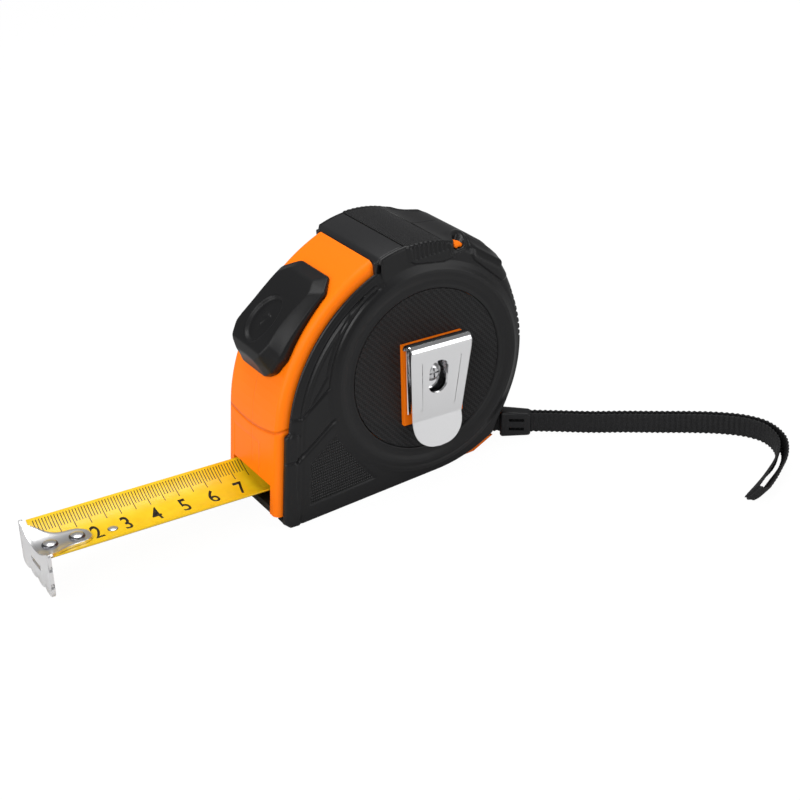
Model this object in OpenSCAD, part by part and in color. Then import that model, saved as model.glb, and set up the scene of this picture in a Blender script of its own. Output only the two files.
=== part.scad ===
// Pocket tape measure, in millimetres.
// +Z is up and the flat base lies at Z = 0. The hook points to -X, the belt clip is on the -Y side,
// and the reel turns about a line parallel to Y, straight above the origin.

/* [Case] */
// Height of the reel axis above the base
reel_z = 38.9; // [37:0.1:41]
// Thickness of the case beyond the width of its blade
case_extra = 15; // [11:0.5:17]
// Height of the case at its top
case_top = 82.7; // [80:0.1:86]
// Distance from the reel axis back to the rear of the case
rear_reach = 37.5; // [36:0.1:41]
// Radius of the rubber edge along the brow
brow_r = 58; // [56:0.5:60]
// How far the orange brow stands out of the rubber edge
brow_step = 3.5; // [2.5:0.1:4.5]
// Rounding of the brow's two long edges
brow_round = 2.5; // [1:0.1:2.8]
// Wall of the plastic shells
wall = 1.8; // [1.4:0.1:2.2]
// Thickness of the rubber skin
skin = 1.6; // [1.2:0.1:2]
// Floor of the shells under the blade
floor_t = 1.3; // [0.9:0.1:1.4]
// Radius of the textured side discs
disc_r = 27.6; // [25:0.1:28.5]
// Width of the raised ring round each disc
ring_w = 6; // [4:0.5:6.5]
// Height of the raised ring over the rubber side
ring_h = 1.3; // [0.6:0.1:2]

/* [Blade] */
// Width of the steel blade
blade_w = 25; // [22:0.5:25.5]
// Depth of the blade's hollow section
blade_sag = 4.6; // [3.5:0.1:5]
// Thickness of the coated blade
blade_t = 0.3; // [0.2:0.05:0.4]
// Length of blade out of the case
blade_out = 73; // [60:1:76]
// Angle at which the blade leaves the mouth, above the base
blade_rise = 4.5; // [4:0.1:5]
// Height of the blade's middle line at the mouth
mouth_z = 7.7; // [7.4:0.1:8.2]

/* [Hook] */
// Width of the hook beyond the width of the blade
hook_extra = 1; // [-1:0.5:2]
// Depth of the hook's face below the blade's middle line
hook_drop = 9.3; // [8:0.1:10]
// Thickness of the hook's plate
hook_t = 1.1; // [0.8:0.1:1.2]
// Width of the hook's tongue
tongue_w = 13; // [11:0.5:14]
// Length of the hook's tongue along the blade
tongue_len = 17.5; // [17:0.5:21]
// Float that makes up for the hook's own thickness
hook_float = 1; // [0.6:0.1:1.1]

/* [Reel] */
// Radius of the full coil of blade
coil_r = 27.5; // [25:0.5:28]
// Outer radius of the reel drum
drum_r = 19; // [17:0.5:20]
// Radius of the reel flanges
flange_r = 29.6; // [29:0.1:29.8]
// Radius of the fixed axle
axle_r = 4; // [3:0.1:5]

/* [Lock] */
// Width of the lock button
button_w = 27; // [24:0.5:28]
// Height of the lock button at its lower end
button_high = 7; // [5:0.1:8]
// Height of the lock button at its upper end
button_low = 2.6; // [2:0.1:4]
// Travel of the lock, in degrees along the brow
lock_travel = 6.5; // [4:0.1:7]

/* [Belt clip] */
// Width of the clip's leaf at its top bend
clip_w = 23; // [20:0.5:24]
// Width of the clip's leaf at its lower bend
clip_low_w = 19.4; // [17:0.1:20]
// Thickness of the clip's spring steel
clip_t = 0.9; // [0.7:0.1:1]
// Height of the orange pad behind the clip
pad_h = 28.4; // [26:0.1:30]
// Width of the orange pad behind the clip
pad_w = 22.7; // [20:0.1:24]
// Thickness of the orange pad
pad_t = 1.5; // [1:0.1:2.5]

/* [Wrist strap] */
// Width of the woven strap
strap_w = 7.5; // [6:0.1:8]
// Thickness of one layer of the strap
strap_t = 1.1; // [0.8:0.1:1.2]

/* [Hidden] */
$fn = 96;

gap = 0.3;          // clearance between pieces that move past each other
seat = 0.05;        // clearance between fixed pieces that lie face to face
run = 0.05;         // radial running clearance of a turning fit
case_w = blade_w + case_extra;   // thickness over the two flat rubber sides
half_w = case_w / 2;
shell_y = half_w - skin - 0.4;   // outer face of each shell's side wall
room_y = shell_y - wall;         // inner face of each shell's side wall

// Outline of the case, seen from the side. Each stretch is an arc with its own centre.
brow_top_x = -14.4;                              // where the brow meets the visor
brow_top_z = case_top - 6.4;
brow_top_a = 110.6;                              // polar angle of that point about the brow's centre
brow_c = polar([brow_top_x, brow_top_z], -brow_r, brow_top_a);
brow_end = 171;                                  // polar angle where the brow turns into the straight nose
crown_r = 36.7;
crown_c = [-1.5, case_top - crown_r];            // centre of the top
crown_from = 108;
crown_to = 52;
back_c = [rear_reach - 52.5, 42.5];              // centre of the rear
back_r = rear_reach - back_c[0];
back_from = 27;
back_to = -37;
heel_c = [0.7, 49.2];                            // centre of the rise behind the base
heel_r = heel_c[1];
heel_to = -62;
nose_z = 4;                                      // lower edge of the orange nose
nose_lean = tan(180 - brow_end);                 // the nose runs on straight, tangent to the brow

function polar(c, r, a) = [c[0] + r * cos(a), c[1] + r * sin(a)];
function arc(c, r, a, b, n) = [for (i = [0:n]) polar(c, r, a + (b - a) * i / n)];
// Front of the brow, or of the straight nose below it, at height z
function nose_x(r, z) = let (e = polar(brow_c, r, brow_end)) e[0] - (e[1] - z) * nose_lean;
// The whole outline, moved inwards by d
function outline(d) = concat(
    arc(crown_c, crown_r - d, crown_from, crown_to, 14),
    arc(back_c, back_r - d, back_from, back_to, 18),
    arc(heel_c, heel_r - d, heel_to, -90, 8),
    [[nose_x(brow_r - d, 2) + 2, d], [nose_x(brow_r - d, 2), max(2, d)]],
    arc(brow_c, brow_r - d, brow_end, 90 + asin((brow_c[0] - brow_top_x) / (brow_r - d)), 20));
// The orange brow and nose, moved inwards by d
function brow(d) = concat(
    [[nose_x(brow_r + brow_step - d, nose_z + d), nose_z + d]],
    arc(brow_c, brow_r + brow_step - d, brow_end,
        90 + asin((brow_c[0] - brow_top_x) / (brow_r + brow_step - d)), 20),
    [[brow_top_x, 62], [-40, 40], [-46, nose_z + d]]);

// Extrudes a side outline from y = a to y = b
module slab(a, b) translate([0, max(a, b), 0]) rotate([90, 0, 0]) linear_extrude(abs(b - a)) children();
// A cylinder along Y from y = a to y = b, at [x, z]
module post(p, r, a, b) slab(a, b) translate(p) circle(r);

reel = [0, reel_z];
screw_at = [[-37, 21], [-24, 63.5], [24.3, 15.8], [24.5, 64]];
screw_r = 1.1;
screw_bore = 1.2;
foot_to = 1.5;                                   // rear end of the rubber feet
base_to = 17;                                    // rear end of the flat base
heel_x = 26.5;                                   // where the base has risen to the rear
heel_z = 4;
heel_top = 11;                                   // top of the thick stretch behind the feet
boss_r = 2.5;
head_r = 2.3;

// The mouth, the blade and the hook share one frame that rises with the blade:
// its origin is the hook's zero line, on the blade's middle line.
mouth_x = nose_x(brow_r + brow_step, mouth_z);
zero = [mouth_x - blade_out * cos(blade_rise), mouth_z + blade_out * sin(blade_rise)];
blade_in = 3;                                    // rigid length of blade inside the mouth
travel = blade_out - hook_t - 1.4;               // how far the blade can run in
hook_w = blade_w + hook_extra;
arc_r = (pow(blade_w / 2, 2) + pow(blade_sag, 2)) / (2 * blade_sag);
module blade_frame() translate([zero[0], 0, zero[1]]) rotate([0, blade_rise, 0]) children();
// The hollow section of the blade, d above its own steel and t thick, over a width w
module hollow(w, d, t) intersection() {
    translate([0, arc_r]) difference() {
        circle(arc_r - d, $fn = 180);
        circle(arc_r - d - t, $fn = 180);
    }
    translate([-w / 2, -1]) square([w, blade_sag + 3]);
}
// Runs a section along the blade from x = a to x = b
module along(a, b) translate([a, 0, 0]) rotate([90, 0, 90]) linear_extrude(b - a) children();

mouth_w = blade_w + 1;
mouth_top = mouth_z + blade_sag + 1.6;

// Half section of the brow, out to radius r, with its outer corner rounded
brow_half_w = shell_y - 0.6;
module brow_section(r) difference() {
    square([r, brow_half_w]);
    difference() {
        translate([r - brow_round, brow_half_w - brow_round]) square(brow_round + 1);
        translate([r - brow_round, brow_half_w - brow_round]) circle(brow_round);
    }
}
// Solid orange brow: turned about its own centre down to the nose, and straight from there
module brow_block() intersection() {
    slab(0, brow_half_w) polygon(brow(0));
    translate([brow_c[0], 0, brow_c[1]]) union() {
        rotate([90, 0, 0]) rotate([0, 0, 90]) rotate_extrude(angle = brow_end - 90)
            mirror([0, 1]) brow_section(brow_r + brow_step);
        rotate([0, -brow_end, 0]) linear_extrude(60) brow_section(brow_r + brow_step);
    }
}

// One shell, for the +Y half
module shell_half() {
    difference() {
        union() {
            difference() {
                union() {
                    slab(0, shell_y) polygon(outline(skin));
                    brow_block();
                    // Flat base between the rubber feet, and across the whole case behind them
                    slab(0, mouth_w / 2) polygon([[-53, 0], [foot_to + 1, 0], [foot_to + 1, 6], [-53, 6]]);
                    slab(0, brow_half_w) polygon([[foot_to + 0.5, 0], [base_to, 0], [heel_x, heel_z],
                        [heel_x, heel_top], [foot_to + 0.5, heel_top]]);
                }
                slab(-1, room_y) polygon(outline(skin + wall));
                slab(-1, room_y) polygon([[0, floor_t], [base_to, floor_t], [heel_x - wall, heel_z + 1], [0, 9]]);
                slab(-1, room_y) polygon(brow(wall));
                // Blade channel under the reel
                slab(-1, mouth_w / 2 - 0.3) translate([-56, floor_t]) square([56 + base_to - 0.5, 8]);
            }
            for (p = screw_at) post(p, boss_r, seat, room_y + 0.5);
            post(reel, axle_r + 3, room_y - 0.1, room_y + 0.5);
        }
        // Mouth
        translate([mouth_x - 3, -1, -1]) cube([12, mouth_w / 2 + 1, mouth_top + 1]);
        // Slot for the lock's stem
        slab(-1, stem_w / 2 + 0.4) polygon(concat(
            arc(brow_c, brow_r - 4, stem_from + 1, stem_to - lock_travel - 1, 8),
            arc(brow_c, brow_r + 8, stem_to - lock_travel - 1, stem_from + 1, 8)));
        post(reel, axle_r + seat, -1, room_y + 0.9);
        post(reel, clip_screw_r + 0.2, -1, shell_y + 1);
        for (p = screw_at) post(p, screw_bore, -1, room_y + 0.4);
    }
}
module case_shell_left() color("darkorange") difference() {
    shell_half();
    for (p = screw_at) {
        post(p, screw_bore, -1, shell_y + 1);
        post(p, head_r + 0.2, shell_y - 1, shell_y + 1);
    }
}
pocket_z = 3.4;
pocket_h = strap_w + 2;
pocket_l = 20;
module case_shell_right() color("darkorange") union() {
    difference() {
        mirror([0, 1, 0]) shell_half();
        // Pocket for the wrist strap, open to the rear behind the rubber
        translate([strap_in[0] - 3, -half_w, pocket_z]) cube([pocket_l, half_w + strap_in[1] + 2.7, pocket_h]);
    }
    // Ear over the strap's pin
    translate([strap_in[0] - 2.5, -shell_y, pocket_z + pocket_h]) cube([4.5, 5.5, 1.2]);
}

// One rubber skin, for the +Y half: the side, with its raised ring, and the edge that wraps round
module grip_half() {
    difference() {
        union() {
            slab(shell_y + seat, half_w) polygon(outline(0));
            post(reel, disc_r + ring_w, half_w - 0.5, half_w + ring_h);
            // Edge over the rear, from the grip band down to the heel
            slab(seat, shell_y + seat) difference() {
                intersection() {
                    polygon(outline(0));
                    translate([band_to + seat, 16]) square([60, 80]);
                }
                polygon(outline(skin - seat));
            }
            // Foot along the base
            slab(mouth_w / 2 + 0.5, shell_y + seat) difference() {
                intersection() {
                    polygon(outline(0));
                    translate([-60, -1]) square([60 + foot_to, 8]);
                }
                polygon(outline(skin - seat));
                translate([-70, nose_z - 0.5]) square([23, 10]);
            }
        }
        post(reel, disc_r, shell_y - 1, half_w + 9);
        // Room for the visor and the grip band, which run right across
        slab(-1, top_half_w + 0.1) translate([brow_top_x - 4, top_from])
            square([band_to - brow_top_x + 4, top_span]);
    }
}
module rubber_grip_left() color("#1c1c1e") difference() {
    grip_half();
    for (p = screw_at) post(p, head_r + 0.5, shell_y - 1, half_w + 3);
}
module rubber_grip_right() color("#1c1c1e") mirror([0, 1, 0]) grip_half();

visor_to = -3.5;
band_to = 10.5;
top_half_w = half_w - 1.2;                        // half width of the visor and the grip band
top_from = case_top - 12.7;
top_span = 20;
// A piece of the top, from x = a to x = b, right across the case
module top_piece(a, b) slab(-top_half_w, top_half_w) difference() {
    intersection() {
        polygon(outline(0));
        translate([a, top_from]) square([b - a, top_span]);
    }
    polygon(outline(skin - seat));
}
module top_visor() color("#242426") union() {
    top_piece(brow_top_x, visor_to - seat);
    slab(-top_half_w, top_half_w) difference() {
        polygon([[brow_top_x + seat, brow_top_z + 2.7], [brow_top_x + 1.5, brow_top_z + 2.7],
            [crown_c[0] + crown_r * cos(crown_from), crown_c[1] + crown_r * sin(crown_from)]]);
        polygon(outline(skin - seat));
    }
}
module top_grip_band() color("#303032") top_piece(visor_to, band_to - seat);

module side_disc() color("#2a2a2c") post(reel, disc_r - 0.2, shell_y + seat, half_w + 0.5);
module side_disc_left() side_disc();
module side_disc_right() color("#2a2a2c") difference() {
    mirror([0, 1, 0]) side_disc();
    post(reel, clip_screw_r + 0.2, -shell_y, -half_w - 1);
}

// Rubber lip that fills the mouth under the blade and cushions the hook
module mouth_bumper() color("#202022") intersection() {
    translate([mouth_x - 0.3, -mouth_w / 2 + 0.1, 0]) cube([8, mouth_w - 0.2, 12]);
    slab(-20, 20) polygon([[mouth_x + 0.1, nose_z - 0.6], [mouth_x + 4, 0.35], [mouth_x + 8, 0.35],
        [mouth_x + 8, mouth_z - 2.1], [mouth_x, mouth_z - 1.3]]);
}

module case_screws() color("silver") for (p = screw_at) {
    post(p, screw_r, -9, shell_y - 0.9);
    difference() {
        post(p, head_r, shell_y - 1, shell_y + 0.2);
        slab(shell_y - 0.5, shell_y + 1) translate(p) union() {
            square([2.6, 0.5], center = true);
            square([0.5, 2.6], center = true);
        }
    }
}

// Fixed post at the middle of the reel, slotted for the inner end of the mainspring
module axle_pin() color("silver") difference() {
    post(reel, axle_r, -room_y - 0.8, room_y + 0.8);
    slab(-9, 9) translate([-0.4, reel_z]) square([0.8, axle_r + 1]);
    post(reel, clip_screw_r + seat, -room_y - 2, -room_y + 3.2);
}
flange_y = blade_w / 2 + 0.2;
flange_t = 1;
washer_gap = 0.1;
module thrust_washers() color("white") for (s = [-1, 1]) difference() {
    post(reel, axle_r + 2.5, s * (flange_y + flange_t + washer_gap), s * (room_y - 0.2));
    post(reel, axle_r + run, -20, 20);
}
// Wound steel strip that pulls the blade back in
module mainspring() color("#5a6068") difference() {
    post(reel, drum_r - 2.2, -blade_w / 2 + 2, blade_w / 2 - 2);
    post(reel, axle_r + 3.5, -20, 20);
}
module reel_drum() color("white") difference() {
    union() {
        post(reel, drum_r, -flange_y, flange_y);
        post(reel, flange_r, flange_y, flange_y + flange_t);
    }
    post(reel, drum_r - 1.5, -20, flange_y - 0.8);
    post(reel, axle_r + run, -20, 20);
}
module reel_cover() color("white") difference() {
    post(reel, flange_r, -flange_y - seat, -flange_y - flange_t);
    post(reel, axle_r + run, -20, 20);
    for (a = [0:60:300]) post(polar(reel, drum_r - 7, a), 2.6, -20, 20);
}
module blade_coil() color("gold") difference() {
    post(reel, coil_r, -blade_w / 2, blade_w / 2);
    post(reel, drum_r + seat, -20, 20);
}

// Free stretch of blade between the mouth and the coil, where it flattens out
span_x = -30;                                    // where the hollow section has gone flat
span_z = mouth_z - (span_x - mouth_x) * tan(blade_rise);
span_dir = atan2(span_z - reel_z, span_x);
span_reach = norm([span_x, span_z - reel_z]);
span_end = polar(reel, coil_r + blade_t + seat, span_dir + 360 + acos((coil_r + blade_t + seat) / span_reach));
module blade_span() color("gold") union() {
    blade_frame() along(blade_out + blade_in + seat, blade_out + (span_x - mouth_x) / cos(blade_rise))
        hollow(blade_w, 0, blade_t);
    slab(-blade_w / 2, blade_w / 2) polygon([[span_x - 0.5, span_z], span_end, span_end + [0, blade_t],
        [span_x - 0.5, span_z + blade_t]]);
}
module blade() color("gold") blade_frame() difference() {
    along(hook_float + 0.2, blade_out + blade_in) hollow(blade_w, 0, blade_t);
    for (x = rivet_x) translate([x, 0, -3]) cylinder(r = rivet_r + 0.02, h = 9);
    translate([third_x, 0, -3]) cylinder(r = third_r + 0.02, h = 9);
}
rivet_x = [4, 12.8];
rivet_r = 1.2;
third_x = 24.5;
third_r = 0.9;
module blade_rivet() color("silver") blade_frame() translate([third_x, 0, 0]) {
    translate([0, 0, -0.5]) cylinder(r = third_r, h = 1.5);
    translate([0, 0, blade_t + 0.15]) cylinder(r = 1.7, h = 0.35);
    translate([0, 0, -0.4]) cylinder(r = 1.7, h = 0.35);
}

// Hook: a plate that lies in the blade's hollow, and a face that hangs down from its end
slot_z = -3.4;
module hook_face() difference() {
    translate([-hook_w / 2, -hook_drop]) square([hook_w, hook_drop + blade_sag + 1.3]);
    // Dished top edge
    translate([0, arc_r]) circle(arc_r - blade_t - gap - hook_t, $fn = 180);
    translate([-hook_w / 2 - 1, blade_sag + hook_t]) square([hook_w + 2, 5]);
    // Scalloped lower edge
    for (s = [-1, 1]) translate([s * 4.3, -hook_drop - 0.6]) circle(2.1, $fn = 48);
    translate([0, -hook_drop - 0.9]) circle(2, $fn = 48);
    // Side notches
    for (s = [-1, 1]) translate([s * (hook_w / 2 + 0.5), -hook_drop + 3.6]) circle(1.9, $fn = 48);
    for (s = [-1, 1]) translate([s * hook_w / 2, -hook_drop]) rotate(45) square(5, center = true);
    // Slot that catches a nail head
    intersection() {
        difference() {
            translate([0, slot_z - 9]) circle(10, $fn = 96);
            translate([0, slot_z - 9]) circle(8.2, $fn = 96);
        }
        translate([-6, slot_z - 3]) square([12, 6]);
    }
}
module hook() color("silver") blade_frame() difference() {
    union() {
        translate([-hook_t, 0, 0]) rotate([90, 0, 90]) linear_extrude(hook_t) hook_face();
        along(-0.2, 5) hollow(hook_w - 3, blade_t + gap, hook_t);
        along(4.9, tongue_len) hollow(tongue_w, blade_t + gap, hook_t);
    }
    // Long holes, which let the hook float on its rivets
    for (x = rivet_x) translate([x, 0, -3]) union() {
        cylinder(r = rivet_r + run, h = 9);
        translate([-hook_float, 0, 0]) cylinder(r = rivet_r + run, h = 9);
        translate([-hook_float, -rivet_r - run, 0]) cube([hook_float, 2 * rivet_r + 2 * run, 9]);
    }
    for (s = [-1, 1]) translate([tongue_len, s * tongue_w / 2, -3]) rotate(45) translate([-3, -3, 0]) cube([6, 6, 9]);
}
module hook_rivets() color("silver") blade_frame() for (x = rivet_x) translate([x, 0, 0]) {
    translate([0, 0, -0.6]) cylinder(r = rivet_r, h = 2.9);
    translate([0, 0, blade_t + gap + hook_t + 0.3]) intersection() {
        translate([0, 0, -1.2]) sphere(r = 2.6, $fn = 48);
        cylinder(r = 3, h = 3);
    }
    translate([0, 0, -0.5]) cylinder(r = 2, h = 0.45);
}

// Lock: button outside, carrier inside, joined by a stem through the slot in the brow
stem_w = 8;
stem_from = 146;
stem_to = 136;
button_from = 153;
button_to = 122.6;
button_in = brow_r + brow_step + gap;
button_step = 3.5;                                // how far the button's raised middle stands in from its sides
button_rim = 0.3;                                 // thickness of its edge where it runs out on the brow
// Outline of the button, lift high at its ridge
function wedge(lift) = [
    polar(brow_c, button_in - 2, button_from),
    polar(brow_c, button_in + lift * 0.63, button_from),
    polar(brow_c, button_in + lift, button_from - 6),
    polar(brow_c, button_in + lift * 0.66, (button_from + button_to) / 2 - 1),
    polar(brow_c, button_in + button_low * lift / button_high, button_to + 4),
    polar(brow_c, button_in + button_rim, button_to),
    polar(brow_c, button_in - 2, button_to + 0.4)];
module lock_button() color("#18181a") difference() {
    hull() {
        slab(-button_w / 2 + button_step, button_w / 2 - button_step) polygon(wedge(button_high));
        slab(-button_w / 2, button_w / 2) polygon(wedge(button_high * 0.45));
    }
    post(brow_c, button_in, -20, 20);
}
carrier_r = brow_r + brow_step - wall - 0.5;
carrier_t = 2;
arm_a = 184;                                     // where the carrier's arm turns in over the blade
// Front of the brake shoe, behind the reach of the hook's tongue
shoe_x = zero[0] + (travel + hook_float + tongue_len) * cos(blade_rise) + 2 * gap;
shoe_l = 4.6;
shoe_z = mouth_z - (shoe_x - mouth_x) * tan(blade_rise) + blade_t + gap + 0.25;
shoe_top = 10;
module arc_strip(r0, r1, a, b, w, n) slab(-w / 2, w / 2)
    polygon(concat(arc(brow_c, r0, a, b, n), arc(brow_c, r1, b, a, n)));
module lock_carrier() color("dimgray") union() {
    arc_strip(carrier_r - carrier_t, carrier_r, stem_to - 8, arm_a, 10, 20);
    arc_strip(carrier_r - 0.5, button_in - 0.1, stem_to, stem_from, stem_w, 4);
    slab(-4, 4) polygon([polar(brow_c, carrier_r - 0.2, arm_a - 1), polar(brow_c, carrier_r - 0.2, arm_a + 2.5),
        [shoe_x - 5, shoe_top + 1.4], [shoe_x, shoe_top], [shoe_x + shoe_l, shoe_top],
        [shoe_x + shoe_l, shoe_top + 2], [shoe_x - 4, shoe_top + 4]]);
}
// Rubber shoe that pins the blade against the floor of the mouth
module brake_pad() color("#303030") translate([shoe_x, -2.5, shoe_z]) cube([shoe_l, 5, shoe_top - shoe_z - seat]);
// Leaf spring that clicks the lock into its two places
spring_r = carrier_r - carrier_t - gap;
spring_w = 6;
spring_from = 121;
spring_to = 152;
prop_a = 126;                                     // leg that stands on the boss of the upper front screw
module lock_spring() color("silver") union() {
    arc_strip(spring_r - 0.5, spring_r, spring_from, spring_to, spring_w, 10);
    arc_strip(norm(screw_at[1] - brow_c) + boss_r + seat, spring_r, prop_a - 1, prop_a + 1, spring_w, 2);
}

// Belt clip, in a frame of its own that leans with the orange pad
clip_c = [0.8, 35.8];
clip_lean = 4.5;
clip_screw_r = 1.6;
disc_face = half_w + 0.5;
pad_face = disc_face + pad_t;
bend_in = 1.9;                                    // inner radius of the top bend
bend_z = pad_h / 2 - 1.6;                         // its height above the pad's middle
bend_y = -pad_face - clip_t - bend_in;
split_a = 12;                                     // opening of the top bend, where the leaf flexes
module clip_frame() translate([clip_c[0], 0, clip_c[1]]) rotate([0, clip_lean, 0]) children();
// The hole for the screw, which lies on the reel's axis
module screw_way() rotate([0, -clip_lean, 0]) translate([-clip_c[0], 0, -clip_c[1]])
    post(reel, clip_screw_r + 0.2, -60, 0);
module sideways(w) translate([-w / 2, 0, 0]) rotate([90, 0, 90]) linear_extrude(w) children();
module clip_pad() color("darkorange") clip_frame() difference() {
    translate([-pad_w / 2, -pad_face, -pad_h / 2]) cube([pad_w, pad_t - seat, pad_h]);
    screw_way();
}
plate_w = clip_w - 2;                             // plate that lies on the pad, under the screw
plate_low = 10;
// The top bend from polar angle a to b, a round ring cut to a sector
module bend(a, b) intersection() {
    translate([bend_y, bend_z]) difference() {
        circle(bend_in + clip_t);
        circle(bend_in);
    }
    polygon([[bend_y, bend_z], for (i = [0:4]) polar([bend_y, bend_z], 9, a + (b - a) * i / 4)]);
}
module belt_clip() color("silver") clip_frame() difference() {
    union() {
        translate([-plate_w / 2, -pad_face - clip_t, -plate_low]) cube([plate_w, clip_t, plate_low + bend_z]);
        sideways(clip_w - 1) bend(0, 90 - split_a / 2);
    }
    screw_way();
}
leaf_low = -13;                                   // lower bend of the leaf, from the pad's middle
leaf_tip = -22.8;
leaf_low_y = -pad_face - clip_t - 0.5;            // inner face of the leaf at its lower bend
leaf_tip_y = leaf_low_y - 1.9;
leaf_a = 90 + split_a / 2;
module leaf_blank() union() {
    sideways(clip_w) bend(leaf_a, 183);
    sideways(clip_w) polygon([[bend_y - bend_in, bend_z], [leaf_low_y, leaf_low], [leaf_tip_y, leaf_tip],
        [leaf_tip_y - clip_t, leaf_tip], [leaf_low_y - clip_t, leaf_low], [bend_y - bend_in - clip_t, bend_z]]);
}
tongue_r = 8.4;                                   // round lower end of the leaf
slot_r = 3.6;                                     // slot that reaches the screw through the leaf
slot_len = 5;
slot_x = -0.6;
module clip_leaf() color("silver") clip_frame() difference() {
    intersection() {
        leaf_blank();
        // Face outline: tapered leaf with a round tongue
        rotate([90, 0, 0]) linear_extrude(60) union() {
            polygon([[-clip_w / 2, 30], [-clip_w / 2, bend_z - 2], [-clip_low_w / 2, leaf_low],
                [clip_low_w / 2, leaf_low], [clip_w / 2, bend_z - 2], [clip_w / 2, 30]]);
            translate([0, leaf_tip + tongue_r]) circle(tongue_r);
            translate([-tongue_r, leaf_tip + tongue_r]) square([2 * tongue_r, 5]);
        }
    }
    // Slot over the screw
    for (z = [0, slot_len]) translate([slot_x, 0, z]) rotate([90, 0, 0]) cylinder(r = slot_r, h = 60);
    translate([slot_x - slot_r, -60, 0]) cube([2 * slot_r, 60, slot_len]);
}
module clip_screw() color("silver") translate([0, 0, reel_z]) difference() {
    union() {
        rotate([90, 0, 0]) translate([0, 0, room_y - 3]) cylinder(r = clip_screw_r, h = pad_face + clip_t - room_y + 3.1);
        intersection() {
            rotate([90, 0, 0]) translate([0, 0, pad_face + clip_t + 0.05]) cylinder(r = 3, h = 1.3);
            translate([0, -pad_face - clip_t + 2.6, 0]) sphere(r = 4.3);
        }
    }
    translate([-1.8, -pad_face - clip_t - 3, -0.3]) cube([3.6, 2.2, 0.6]);
    translate([-0.3, -pad_face - clip_t - 3, -1.8]) cube([0.6, 2.2, 3.6]);
}

// Wrist strap: a loop of webbing that stands on its edge on the surface under the case.
// Points of its middle line, from the pin out to the fold.
strap_in = [21, -12.2];
ROUTE = [[21, -12.2, 7.4], [28.5, -15.5, 7], [37, -21.5, 6.2], [46, -27, 5], [55, -33.5, 4.1], [64, -40.5, 3.9],
    [73, -48.5, 3.9], [81, -55.5, 3.9], [88, -62.5, 3.9], [93, -69.5, 3.9], [95, -77, 3.9], [92.5, -85.5, 3.9],
    [86, -92, 3.9], [77.5, -96.5, 3.9], [69, -100.5, 3.9]];
route_last = len(ROUTE) - 1;
layer = 0.95;                                     // half the distance between the two layers
fold_r = 2.4;                                     // radius of the fold at the far end
function flat(v) = [v[0], v[1], 0] / norm([v[0], v[1]]);
function heading(i) = flat(ROUTE[min(i + 1, route_last)] - ROUTE[max(i - 1, 0)]);
function across(v) = [-v[1], v[0], 0];
// Half gap between the layers, which opens towards the fold
function spread(i) = layer + (fold_r - layer) * pow(max(0, (i - 9) / (route_last - 9)), 2);
function side(i, s) = ROUTE[i] + across(heading(i)) * s * spread(i);
fold_n = 6;
fold = [for (k = [1:fold_n - 1]) let (h = heading(route_last), a = 90 - 180 * k / fold_n)
    ROUTE[route_last] + fold_r * (h * cos(a) + across(h) * sin(a))];
strap_path = concat([for (i = [0:route_last]) side(i, 1)], fold, [for (i = [route_last:-1:0]) side(i, -1)]);
function strap_ring(p, i) = let (h = flat(p[min(i + 1, len(p) - 1)] - p[max(i - 1, 0)]), n = across(h), u = [0, 0, 1],
    a = strap_t / 2, b = strap_w / 2, c = 0.35)
    [for (q = [[a, b - c], [a - c, b], [c - a, b], [-a, b - c], [-a, c - b], [c - a, -b], [a - c, -b], [a, c - b]])
        p[i] + n * q[0] + u * q[1]];
// Closed tube through rings of eight points
module tube(rings) {
    n = len(rings);
    polyhedron(points = [for (r = rings) each r], faces = concat(
        [[for (k = [0:7]) k]], [[for (k = [7:-1:0]) (n - 1) * 8 + k]],
        [for (i = [0:n - 2], k = [0:7]) each [[i * 8 + k, (i + 1) * 8 + k, (i + 1) * 8 + (k + 1) % 8],
            [i * 8 + k, (i + 1) * 8 + (k + 1) % 8, i * 8 + (k + 1) % 8]]]));
}
module wrist_strap() color("#161616") tube([for (i = [0:len(strap_path) - 1]) strap_ring(strap_path, i)]);
module strap_pin() color("silver") translate([strap_in[0] - 0.4, strap_in[1], pocket_z + seat])
    cylinder(r = 0.8, h = pocket_h - 2 * seat);
// Moulded slide that holds the loop together
slider_len = 10.4;
slider_h = 11.4;
slider_t = 5.4;
slider_at = 0.4 * ROUTE[1] + 0.6 * ROUTE[2];
slider_run = ROUTE[2] - ROUTE[1];
module strap_slider() color("#1a1a1a") translate(slider_at)
    rotate([0, atan2(-slider_run[2], norm([slider_run[0], slider_run[1]])), atan2(slider_run[1], slider_run[0])])
    difference() {
        cube([slider_len, slider_t, slider_h], center = true);
        cube([2 * slider_len, 2 * layer + strap_t + 2 * gap, strap_w + 2 * gap + 0.4], center = true);
    }

case_shell_left();
case_shell_right();
rubber_grip_left();
rubber_grip_right();
top_visor();
top_grip_band();
side_disc_left();
side_disc_right();
mouth_bumper();
case_screws();
axle_pin();
thrust_washers();
mainspring();
reel_drum();
reel_cover();
blade_coil();
blade_span();
blade();
blade_rivet();
hook();
hook_rivets();
lock_button();
lock_carrier();
brake_pad();
lock_spring();
clip_pad();
belt_clip();
clip_leaf();
clip_screw();
strap_pin();
strap_slider();
wrist_strap();
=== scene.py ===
import math

import bmesh
import bpy
import numpy as np
from mathutils import Matrix, Vector


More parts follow.
